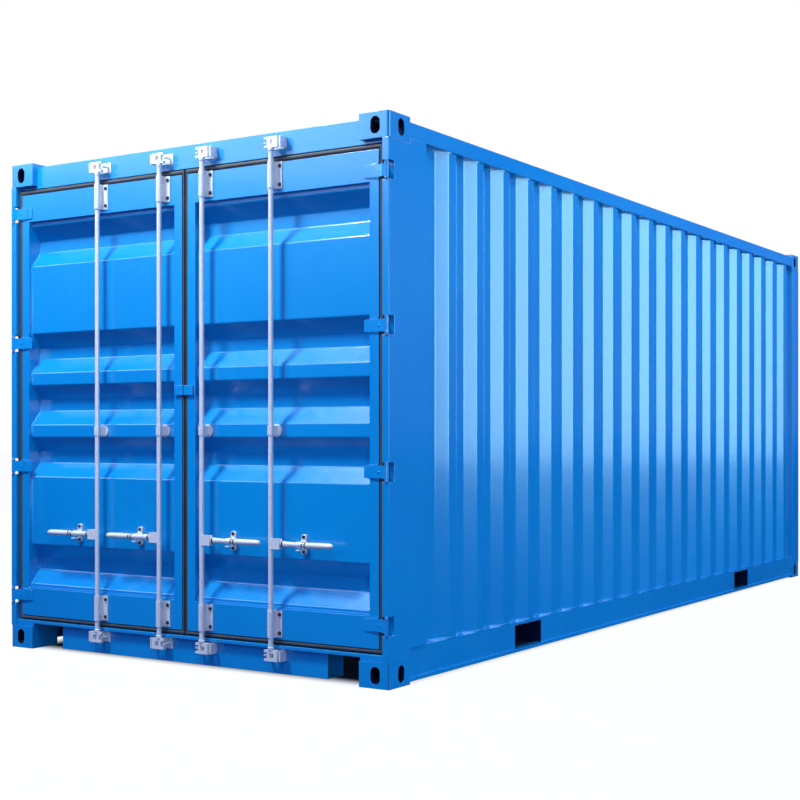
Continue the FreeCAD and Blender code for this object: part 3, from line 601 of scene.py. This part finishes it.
for node in sorted(NODES):
    kind = node.replace("_right", "").replace("_left", "")
    if kind not in EDGE_RADIUS:
        continue
    finish = zinc if SLOT_OF[node] == "galvanised_steel" else frame_paint
    # The fork pockets take the painted shade all over, for the dark inside their tunnels.
    if kind == "fork_pockets":
        finish = cavity_painted_shade
    steel = softened(merged_copy(node, node + "_steel"), EDGE_RADIUS[kind] * MM)
    stands_for(steel, node, finish)
    if kind.startswith("corner_castings"):
        painted_shade_inside(steel)
    print(f"{steel.name}: {len(steel.data.polygons)} faces")

# %% [markdown]
# ## Pressed sheets
# The walls, the roof and the door panels are folded from thin sheet. A fold has a radius
# of a few times the thickness, while the cut ends stay sharp, so only the folds are
# rounded: they are told from the cut ends by the angle between their two faces.

# %% Folds with a radius
FOLD_LOW, FOLD_HIGH = math.radians(12), math.radians(65)


def pressed(piece, radius):
    """Round the folds of a sheet and leave its cut ends alone."""
    only(piece)
    weights = piece.data.attributes.new("bevel_weight_edge", "FLOAT", "EDGE")
    faces_at = {}
    for face in piece.data.polygons:
        for key in face.edge_keys:
            faces_at.setdefault(key, []).append(face.normal)
    for line in piece.data.edges:
        normals = faces_at.get(line.key, [])
        if len(normals) == 2 and FOLD_LOW < normals[0].angle(normals[1]) < FOLD_HIGH:
            weights.data[line.index].value = 1.0
    modified(
        piece, "BEVEL", width=radius, segments=3, limit_method="WEIGHT", offset_type="WIDTH",
        use_clamp_overlap=False,
    )
    return smoothed(piece)


FOLD_WIDTH = {"side_wall_right": 9, "side_wall_left": 9, "rear_wall": 10, "roof_panel": 8,
              "door_panel_right": 9, "door_panel_left": 9}
for node, width in FOLD_WIDTH.items():
    sheet = pressed(merged_copy(node, node + "_sheet"), width * MM)
    stands_for(sheet, node, sheet_paint)
    print(f"{sheet.name}: {len(sheet.data.polygons)} faces")

# %% [markdown]
# ## Weld beads
# Every sheet is welded to its frame all the way round. A bead is a thin rounded ridge that
# follows the edge of the sheet, wave and all. It is cut from a copy of the sheet: one
# bisect leaves a narrow strip along the edge, and shrink_fatten swells it into a ridge.

# %% Beads cut from the sheets
AXES = {"x": (1, 0, 0), "y": (0, 1, 0), "z": (0, 0, 1)}
BEAD, BEAD_SWELL, BEAD_EDGE = 7 * MM, 2.2 * MM, 2.0 * MM


def bead_along(node, axis, low_side, name):
    """A bead along one edge of a sheet: the edge at the low or the high end of an axis."""
    piece = merged_copy(node, name)
    low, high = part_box(node)
    at = "xyz".index(axis)
    cut = low[at] + BEAD if low_side else high[at] - BEAD
    point = [0, 0, 0]
    point[at] = cut
    edit(
        piece,
        lambda: bpy.ops.mesh.bisect(
            plane_co=point, plane_no=AXES[axis], use_fill=True,
            clear_outer=low_side, clear_inner=not low_side,
        ),
        lambda: bpy.ops.mesh.select_all(action="SELECT"),
        lambda: bpy.ops.mesh.normals_make_consistent(inside=False),
        lambda: bpy.ops.transform.shrink_fatten(value=BEAD_SWELL),
    )
    softened(piece, BEAD_EDGE, angle=50)
    return placed(piece, BODY_OF[node], frame_paint)


for side in SIDES:
    bead_along("side_wall_" + side, "z", True, f"weld_wall_foot_{side}")
    bead_along("side_wall_" + side, "z", False, f"weld_wall_head_{side}")
    bead_along("door_panel_" + side, "z", True, f"weld_panel_foot_{side}")
    bead_along("door_panel_" + side, "z", False, f"weld_panel_head_{side}")
    bead_along("door_panel_" + side, "x", True, f"weld_panel_low_x_{side}")
    bead_along("door_panel_" + side, "x", False, f"weld_panel_high_x_{side}")
bead_along("rear_wall", "z", True, "weld_rear_foot")
bead_along("rear_wall", "z", False, "weld_rear_head")
bead_along("roof_panel", "x", True, "weld_roof_left")
bead_along("roof_panel", "x", False, "weld_roof_right")

# %% [markdown]
# ## Bolts
# The bearings, the handle retainers and the keepers are bolted on. One bolt is modelled
# well, a hexagon head on a round washer with its corners rounded, and copied to each place.
# It repeats often, so it has only a few dozen faces. The heads are blackened steel, which
# sets them off from the zinc around them.

# %% One bolt
def bolt_at(name, place, size):
    """A hexagon bolt head that points towards -Y, its washer's back face at the place."""
    x, y, z = place
    washer = start_rod(name, (x, y - 1 * MM, z), 1.35 * size, 2 * MM, "y", 16)
    head = start_rod(name + "_head", (x, y - 2 * MM - 0.35 * size, z), size, 0.7 * size, "y", 6)
    pick_faces(head, lambda centre, normal: normal.y < -0.9)
    bpy.ops.mesh.inset(thickness=0.16 * size)
    bpy.ops.transform.translate(value=(0, -0.12 * size, 0))
    back_to_object()
    return joined(name, [washer, head])


def bolt_set(name, places, size, body):
    """Bolts of one size in one piece: the first is modelled, the rest are its copies."""
    first = bolt_at(name, places[0], size)
    start = Vector(places[0])
    twins = [copied(first, f"{name}_{n}", Vector(place) - start)
             for n, place in enumerate(places[1:])]
    whole = joined(name, [first] + twins)
    only(whole)
    bpy.ops.object.shade_smooth_by_angle(angle=math.radians(30))
    return placed(whole, body, black_steel)


# %% Bolts on the bearings
def loose_parts(node):
    """The boxes of a node's separate solids: (lowest corner, highest corner) pairs."""
    piece = merged_copy(node, "parts_of_" + node)
    edit(piece, lambda: bpy.ops.mesh.separate(type="LOOSE"))
    parts = [o for o in bpy.data.objects if o.name.startswith("parts_of_" + node)]
    found = []
    for part in parts:
        points = [v.co for v in part.data.vertices]
        found.append((
            Vector([min(p[k] for p in points) for k in range(3)]),
            Vector([max(p[k] for p in points) for k in range(3)]),
        ))
    for part in parts:
        bpy.data.objects.remove(part)
    return sorted(found, key=lambda box: (box[0].z, box[0].x))


ROD_Y = (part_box("lock_rod_inner_right")[0].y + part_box("lock_rod_inner_right")[1].y) / 2
leaf_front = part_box("door_frame_right")[0].y
PLATE = 4 * MM
SLEEVE_AT_LEAST = 100 * MM  # a bearing taller than this is a sleeve, a shorter one a guide
BOLT_FROM_SIDE, BOLT_FROM_END = 13 * MM, 20 * MM
for side in SIDES:
    places = []
    for low, high in loose_parts("rod_bearings_" + side):
        face = high.y - PLATE
        if high.z - low.z > SLEEVE_AT_LEAST:
            for x in (low.x + BOLT_FROM_SIDE, high.x - BOLT_FROM_SIDE):
                places += [(x, face, low.z + BOLT_FROM_END), (x, face, high.z - BOLT_FROM_END)]
    bolt_set(f"bearing_bolts_{side}", places, 7 * MM, "door_" + side)
    print(side, "bearing bolts:", len(places))

# %% [markdown]
# ## Bearings and guides up close
# Each lock rod turns in a forged sleeve near its two ends, with a thicker collar at each
# end of the sleeve, and passes a small guide half way. The collars are spun from one ring
# section, and the guide sits on a round pad.

# %% Collars on the sleeves
def ring(name, centre, inner, outer, depth, sides=32):
    """An upright ring: a disc whose middle is taken out by an inset and a bridge."""
    piece = start_rod(name, centre, outer, depth, "z", sides)
    for up in (1, -1):
        pick_faces(piece, lambda middle, normal: normal.z * up > 0.9)
        bpy.ops.mesh.inset(thickness=outer - inner)
        back_to_object()
    reach = inner * 0.9
    pick_faces(piece, lambda middle, normal: (
        abs(normal.z) > 0.9 and (middle - Vector(centre)).to_2d().length < reach * 0.2))
    bpy.ops.mesh.bridge_edge_loops()
    back_to_object()
    return piece


for side in SIDES:
    collars = []
    for low, high in loose_parts("rod_bearings_" + side):
        middle = (low.x + high.x) / 2
        if high.z - low.z > SLEEVE_AT_LEAST:
            for z in (low.z + 5 * MM, high.z - 5 * MM):
                collars.append(ring(f"collar_{len(collars)}", (middle, ROD_Y, z),
                                    12.6 * MM, 15.9 * MM, 9 * MM))
        else:
            pad = start_rod(f"pad_{len(collars)}", (middle, high.y - 3 * MM, (low.z + high.z) / 2),
                            31 * MM, 6 * MM, "y", 32)
            collars.append(softened(pad, 1.5 * MM))
    whole = joined(f"bearing_collars_{side}", collars)
    softened(whole, 0.8 * MM, angle=50)
    placed(whole, "door_" + side, zinc)
    print(whole.name, len(whole.data.polygons), "faces")

# %% [markdown]
# ## Handles
# A handle is forged from one bar: a flat tongue in the rod's fork, a neck that swells into
# a round hub over the retainer, a pair of rings, and a long grip with a rounded end. It is
# drawn out from an octagonal bar: the end face is extruded station by station and scaled,
# then one level of subdivision rounds it. A dark washer lies between fork and neck.

# %% Drawing out a handle
STATIONS = (  # distance from the rod, half height, half depth, in mm
    (34, 12, 5.0), (58, 14, 5.2), (64, 15.5, 10.0), (84, 15.5, 10.0), (130, 12.5, 9.5),
    (146, 12.5, 10.0), (152, 16.0, 13.5), (176, 16.0, 13.5), (181, 11.5, 11.0),
    (190, 11.5, 11.0), (192, 15.5, 13.8), (198, 15.5, 13.8), (200, 11.5, 11.0),
    (206, 11.5, 11.0), (208, 15.0, 13.5), (214, 15.0, 13.5), (217, 14.0, 13.0),
    (250, 15.5, 14.2), (320, 15.0, 14.0), (346, 14.0, 13.2), (356, 9.0, 9.0), (360, 3.0, 3.0),
)


HANDLE_WASHERS = ((71, 14.2), (186, 13.2), (203, 13.2))  # distance and radius, in mm


def handle_piece(name, rod_x, height, away):
    """The forged handle beside a rod, reaching away from the middle of the container."""
    first, rest = STATIONS[0], STATIONS[1:]
    bar = start_rod(name, (rod_x + away * first[0] * MM, ROD_Y, height), 1 * MM, 0.4 * MM, "x", 12)
    only(bar)
    bpy.ops.object.mode_set(mode="EDIT")
    bpy.ops.mesh.select_all(action="SELECT")
    bpy.ops.transform.resize(
        value=(1, first[2], first[1]), center_override=(0, ROD_Y, height))
    back_to_object()
    pick_faces(bar, lambda middle, normal: normal.x * away > 0.9)
    before = first
    for station in rest:
        bpy.ops.mesh.extrude_region_move(
            TRANSFORM_OT_translate={"value": (away * (station[0] - before[0]) * MM, 0, 0)})
        bpy.ops.transform.resize(
            value=(1, station[2] / before[2], station[1] / before[1]),
            center_override=(0, ROD_Y, height))
        before = station
    back_to_object()
    edit(bar, lambda: bpy.ops.mesh.normals_make_consistent(inside=False))
    modified(bar, "SUBSURF", levels=1, render_levels=1)
    only(bar)
    bpy.ops.object.shade_smooth()
    return bar


def joint_place(node):
    """The place of the joint that a node's body turns about, in metres."""
    joint = [j for j in frame["joints"] if j["child"] == BODY_OF[node]][0]
    return joint["pos_m"]


for side, away in SIDES.items():
    for place in ("inner", "outer"):
        node = f"handle_{place}_{side}"
        rod_x = joint_place(f"lock_rod_{place}_{side}")[0]
        height = joint_place(node)[2]
        bar = handle_piece(f"{node}_forged", rod_x, height, away)
        stands_for(bar, node, zinc)
        washers = []
        for reach, radius in HANDLE_WASHERS:
            place_x = rod_x + away * reach * MM
            washer = start_rod(f"washer_{len(washers)}", (place_x, ROD_Y, height),
                               radius * MM, 5 * MM, "x", 24)
            washers.append(softened(washer, 1 * MM))
        placed(joined(f"{node}_washers", washers), BODY_OF[node], black_rubber)
        print(bar.name, len(bar.data.polygons), "faces")

# %% [markdown]
# ## Handle retainers
# Behind each handle an oval plate is bolted to the door panel, with a swelling in the
# middle that the hub rests on and a lip under it. The plate starts as a round bar whose
# upper and lower halves are pulled apart.

# %% Oval plates with a rest
for side, away in SIDES.items():
    made, bolts = [], []
    for low, high in loose_parts("handle_retainers_" + side):
        middle = Vector(((low.x + high.x) / 2, high.y, (low.z + high.z) / 2))
        thick = 12 * MM
        plate = start_rod(f"plate_{len(made)}", (middle.x, high.y - thick / 2, middle.z),
                          15 * MM, thick, "y", 32)
        for way in (1, -1):
            only(plate)
            bpy.ops.object.mode_set(mode="EDIT")
            bpy.ops.mesh.select_all(action="DESELECT")
            bpy.ops.mesh.select_mode(type="VERT")
            back_to_object()
            for point in plate.data.vertices:
                point.select = (point.co.z - middle.z) * way > 1e-5
            bpy.ops.object.mode_set(mode="EDIT")
            bpy.ops.transform.translate(value=(0, 0, way * 33 * MM))
            back_to_object()
        made.append(softened(plate, 2.5 * MM, 3))
        boss = start_rod(f"boss_{len(made)}", (middle.x, high.y - 11 * MM, middle.z),
                         20 * MM, 22 * MM, "y", 32)
        made.append(softened(boss, 3 * MM, 3))
        rest_z = middle.z - 22 * MM
        rest = start_box(
            f"rest_{len(made)}", (middle.x - 11 * MM, ROD_Y - 12 * MM, rest_z - 6 * MM),
            (middle.x + 11 * MM, high.y - 8 * MM, rest_z))
        made.append(softened(rest, 2 * MM, 2))
        bolts += [(middle.x, high.y - thick, middle.z + way * 35 * MM) for way in (1, -1)]
    whole = joined(f"handle_retainers_{side}_cast", made)
    stands_for(whole, "handle_retainers_" + side, zinc)
    bolt_set(f"retainer_bolts_{side}", bolts, 6 * MM, "door_" + side)
    print(whole.name, len(whole.data.polygons), "faces")

# %% [markdown]
# ## Keeper bolts and cam necks
# The keepers on the header and the sill hold the cam heads shut. Each has a pair of bolts
# through its ear side, and each rod thickens into a neck where it meets its cam head.

# %% Small hardware at the cams
NECK_FROM_END = 60 * MM
KEEPER_BOLT_IN = 11 * MM

for side in SIDES:
    for place in ("inner", "outer"):
        rod_x = joint_place(f"lock_rod_{place}_{side}")[0]
        low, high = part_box(f"lock_rod_{place}_{side}")
        necks = []
        for z in (low.z + NECK_FROM_END, high.z - NECK_FROM_END):
            neck = start_rod(f"pin_{len(necks)}", (rod_x, ROD_Y, z), 15 * MM, 16 * MM, "z", 32)
            necks.append(softened(neck, 2.5 * MM, 3))
        whole = joined(f"cam_necks_{place}_{side}", necks)
        placed(whole, f"lock_rod_{place}_{side}", zinc)
    keepers = []
    for low, high in loose_parts("cam_keepers"):
        if (low.x + high.x) * SIDES[side] > 0:
            outer = max(abs(low.x), abs(high.x)) * SIDES[side]
            x = outer - SIDES[side] * KEEPER_BOLT_IN
            face = high.y - 3 * MM
            keepers += [(x, face, low.z + KEEPER_BOLT_IN), (x, face, high.z - KEEPER_BOLT_IN)]
    bolt_set(f"keeper_bolts_{side}", keepers, 3.6 * MM, "container")

# %% [markdown]
# ## Hinge details
# A hinge blade is welded to the edge of the leaf and turns on a pin inside a pocket in the
# post. A strap that narrows towards the panel lies on the leaf, a short rib is pressed into
# the blade near the knuckle, and a washer at each end of the pin takes the weight. All of
# it is painted with the frame.

# %% Straps, ribs and washers
STRAP_LONG, STRAP_TALL, STRAP_THICK = 78 * MM, 74 * MM, 4.5 * MM


def hinge_strap(name, edge, away, height):
    """The blade where it lies on the leaf: a plate that narrows towards the panel."""
    inner, outer = sorted((edge - away * STRAP_LONG, edge - away * 1 * MM))
    strap = start_box(name, (inner, leaf_front - STRAP_THICK, height - STRAP_TALL / 2),
                      (outer, leaf_front + 1 * MM, height + STRAP_TALL / 2))
    pick_faces(strap, lambda middle, normal: normal.x * away < -0.9)
    bpy.ops.transform.resize(value=(1, 1, 0.72), center_override=(inner, leaf_front, height))
    back_to_object()
    return softened(strap, 1.5 * MM)


pin_boxes = loose_parts("hinge_pins")
for side, away in SIDES.items():
    ribs, washers = [], []
    for low, high in loose_parts("door_hinges_" + side):
        height = (low.z + high.z) / 2
        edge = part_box("door_frame_" + side)[1 if away > 0 else 0].x
        inner, outer = sorted((edge - away * 2 * MM, edge + away * 22 * MM))
        rib = start_box(f"rib_{len(ribs)}", (inner, leaf_front - 9.5 * MM, height - 3.5 * MM),
                        (outer, leaf_front - 5 * MM, height + 3.5 * MM))
        ribs.append(softened(rib, 1.6 * MM, 3))
        ribs.append(hinge_strap(f"strap_{len(ribs)}", edge, away, height))
    for low, high in pin_boxes:
        x, y = (low.x + high.x) / 2, (low.y + high.y) / 2
        if x * away > 0:
            for z in (low.z + 2.5 * MM, high.z - 2.5 * MM):
                washers.append(ring(
                    f"washer_{len(washers)}", (x, y, z), 5.2 * MM, 9.5 * MM, 4 * MM, 24))
    placed(joined(f"hinge_ribs_{side}", ribs), "door_" + side, frame_paint)
    rings = softened(joined(f"hinge_washers_{side}", washers), 0.6 * MM, angle=50)
    placed(rings, "container", frame_paint)
    print(side, "ribs and straps:", len(ribs), "washers:", len(washers))

# %% [markdown]
# ## Door seals
# The seal is an extruded rubber ring with a hollow lip that presses on the posts, the
# header and the sill. From outside it shows as a rounded grey lip with a black groove
# between it and the leaf. The node stays as the black base, and four rounded bars make
# the lip, each as wide as its side of the seal.

# %% The lips
for side in SIDES:
    seal_low, seal_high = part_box("door_seal_" + side)
    leaf_low, leaf_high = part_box("door_frame_" + side)
    front, back, gap = leaf_front + 0.5 * MM, leaf_front + 20 * MM, 4 * MM
    spans = (
        (seal_low.x, leaf_low.x - gap, seal_low.z, seal_high.z),
        (leaf_high.x + gap, seal_high.x, seal_low.z, seal_high.z),
        (seal_low.x, seal_high.x, seal_low.z, leaf_low.z - gap),
        (seal_low.x, seal_high.x, leaf_high.z + gap, seal_high.z),
    )
    bars = []
    for x0, x1, z0, z1 in spans:
        bar = start_box(f"lip_{len(bars)}", (x0, front, z0), (x1, back, z1))
        bars.append(softened(bar, 0.42 * min(x1 - x0, z1 - z0), 4))
    lip = joined(f"door_seal_lip_{side}", bars)
    placed(lip, "door_" + side, grey_rubber)
    print(lip.name, len(lip.data.polygons), "faces")

# %% [markdown]
# ## Floor panels
# The floor is laid in plywood panels over the cross members, and screwed down along each
# of them. The joints and the rows of screws are what shows when the doors stand open, so
# each panel is its own block with rounded edges, two across and five along.

# %% Panels and screws
floor_low, floor_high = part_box("floor_boards")
post_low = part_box("rear_post_right")[0]
JOINT = 1.2 * MM
SCREW_PITCH = 0.24
ROWS, COLUMNS = 5, 2
panels = []
length = (post_low.y - floor_low.y) / ROWS
width = (floor_high.x - floor_low.x) / COLUMNS
for row in range(ROWS):
    for column in range(COLUMNS):
        x0 = floor_low.x + column * width
        y0 = floor_low.y + row * length
        panel = start_box(
            f"panel_{len(panels)}", (x0 + JOINT, y0 + JOINT, floor_low.z),
            (x0 + width - JOINT, y0 + length - JOINT, floor_high.z))
        panels.append(softened(panel, 1.5 * MM))
tail = start_box("panel_tail", (-post_low.x + JOINT, post_low.y + JOINT, floor_low.z),
                 (post_low.x - JOINT, floor_high.y, floor_high.z))
panels.append(softened(tail, 1.5 * MM))
stands_for(joined("floor_panels", panels), "floor_boards", plywood)

screw = start_rod("floor_screws", (0, 0, floor_high.z), 6 * MM, 0.8 * MM, "z", 10)
pick_faces(screw, lambda middle, normal: normal.z > 0.9)
bpy.ops.mesh.inset(thickness=2.2 * MM)
bpy.ops.transform.translate(value=(0, 0, -0.5 * MM))
back_to_object()
rows = []
for low, high in loose_parts("cross_members"):
    for step in range(-4, 5):
        x = (step + (0.25 if step >= 0 else -0.25)) * SCREW_PITCH
        rows.append(copied(screw, f"screw_{len(rows)}", (x, (low.y + high.y) / 2, 0)))
bpy.data.objects.remove(screw)
placed(joined("floor_screws", rows), "container", zinc)
print("floor panels:", len(panels), "screws:", len(rows))

# %% [markdown]
# ## The room around it
# A white studio with nine softboxes: a small one close to the doors that throws the rods'
# shadows, wide ones off the side, the corner, the back and above, and strips for the long
# highlights. A blue fill comes from all round, and the camera alone sees white behind. The
# floor glows white to the camera, and a painted shadow darkens that glow under the
# container, which grounds it. The camera stands low, off the right-hand corner of the doors,
# and keeps its lens level so that the posts stay upright in the picture.

# %% Floor, lights and camera
SHADE_HALF_WIDTH, SHADE_HALF_LENGTH = 1.20, 3.00
bpy.ops.object.select_all(action="DESELECT")
bpy.ops.mesh.primitive_plane_add(size=160, location=(0, 0, -0.0005))
floor = bpy.context.object
floor.name = "studio_floor"
floor_material, tree, shader = new_material(
    "studio_floor", **{"Base Color": (0.02, 0.04, 0.10, 1.0), "Roughness": 0.9,
                       "Specular IOR Level": 0.0})
glow = add(tree, "Emission", Strength=0.97)
spot = add(tree, "SeparateXYZ")
tree.links.new(add(tree, "TexCoord").outputs["Object"], spot.inputs[0])
across = math_node(
    tree, "SUBTRACT", math_node(tree, "ABSOLUTE", spot.outputs["X"]), SHADE_HALF_WIDTH)
along = math_node(
    tree, "SUBTRACT", math_node(tree, "ABSOLUTE", spot.outputs["Y"]), SHADE_HALF_LENGTH)
# Painted shadow: the floor's glow falls to near black over the container's footprint.
outside_painted_shadow = ramp_to(tree, math_node(tree, "MAXIMUM", across, along), -0.14, 0.05)
tree.links.new(
    mixed(tree, outside_painted_shadow, (0.002, 0.003, 0.006), (1.0, 1.0, 1.0)), glow.inputs["Color"])
seen = add(tree, "LightPath")
lift = add(tree, "MixShader")
both = add(tree, "AddShader")
tree.links.new(shader.outputs[0], both.inputs[0])
tree.links.new(glow.outputs[0], both.inputs[1])
tree.links.new(seen.outputs["Is Camera Ray"], lift.inputs[0])
tree.links.new(shader.outputs[0], lift.inputs[1])
tree.links.new(both.outputs[0], lift.inputs[2])
tree.links.new(lift.outputs[0], tree.nodes["Material Output"].inputs["Surface"])
floor.data.materials.append(floor_material)


KEY, COOL = (0.86, 0.96, 1.0), (0.50, 0.92, 1.0)


def soft_light(name, place, aim, size, power, colour):
    """A rectangular softbox that looks at a point."""
    data = bpy.data.lights.new(name, "AREA")
    data.shape = "RECTANGLE"
    data.size, data.size_y = size
    data.energy = power
    data.color = colour
    lamp = bpy.data.objects.new(name, data)
    bpy.context.scene.collection.objects.link(lamp)
    lamp.location = place
    lamp.visible_camera = False
    lamp.rotation_euler = (Vector(aim) - Vector(place)).to_track_quat("-Z", "Y").to_euler()
    return lamp


soft_light("door_light", (-0.8, -4.9, 5.0), (0, -3.0, 1.5), (0.9, 0.9), 300, KEY)
soft_light("side_light", (10.0, 1.8, 3.2), (1.2, 1.8, 2.0), (8, 4.8), 640, COOL)
soft_light("side_strip", (3.3, 0.5, 5.0), (1.2, 0.5, 1.9), (8, 0.7), 100, KEY)
soft_light("corner_light", (4.2, -8.5, 8.0), (1.2, -1.0, 1.3), (5, 5), 240, KEY)
soft_light("rod_light", (7.0, -9.5, 1.9), (0, -3.0, 1.2), (1.6, 3.4), 150, KEY)
soft_light("far_light", (12.0, 22.0, 4.2), (1.2, 0, 1.3), (16, 6), 40, COOL)
soft_light("front_glow", (-8.0, -11.0, 6.5), (0, -3.0, 1.6), (8, 4), 260, KEY)
soft_light("back_light", (-7.0, 9.0, 5.0), (0, 1.0, 1.2), (12, 6), 680, KEY)
soft_light("roof_light", (0, 1.5, 9.0), (0, 1.5, 0), (5, 8), 200, KEY)

world = bpy.data.worlds.new("studio")
bpy.context.scene.world = world
world.use_nodes = True
sky = world.node_tree
lit = sky.nodes["Background"]
lit.inputs["Color"].default_value = (0.02, 0.11, 1.0, 1.0)
lit.inputs["Strength"].default_value = 0.60
white = add(sky, "Background", Color=(1.0, 1.0, 1.0, 1.0), Strength=1.0)
seen = add(sky, "LightPath")
either = add(sky, "MixShader")
sky.links.new(seen.outputs["Is Camera Ray"], either.inputs[0])
sky.links.new(lit.outputs[0], either.inputs[1])
sky.links.new(white.outputs[0], either.inputs[2])
sky.links.new(either.outputs[0], sky.nodes["World Output"].inputs["Surface"])

camera_data = bpy.data.cameras.new("camera")
camera_data.lens = 62.68
camera_data.shift_x = -0.0111
camera_data.shift_y = 0.045
camera = bpy.data.objects.new("camera", camera_data)
bpy.context.scene.collection.objects.link(camera)
camera.location = (4.6317, -8.2174, 1.1350)
camera.rotation_euler = (math.pi / 2, 0, math.radians(32.51))
bpy.context.scene.camera = camera
bpy.context.scene.view_settings.view_transform = "Standard"
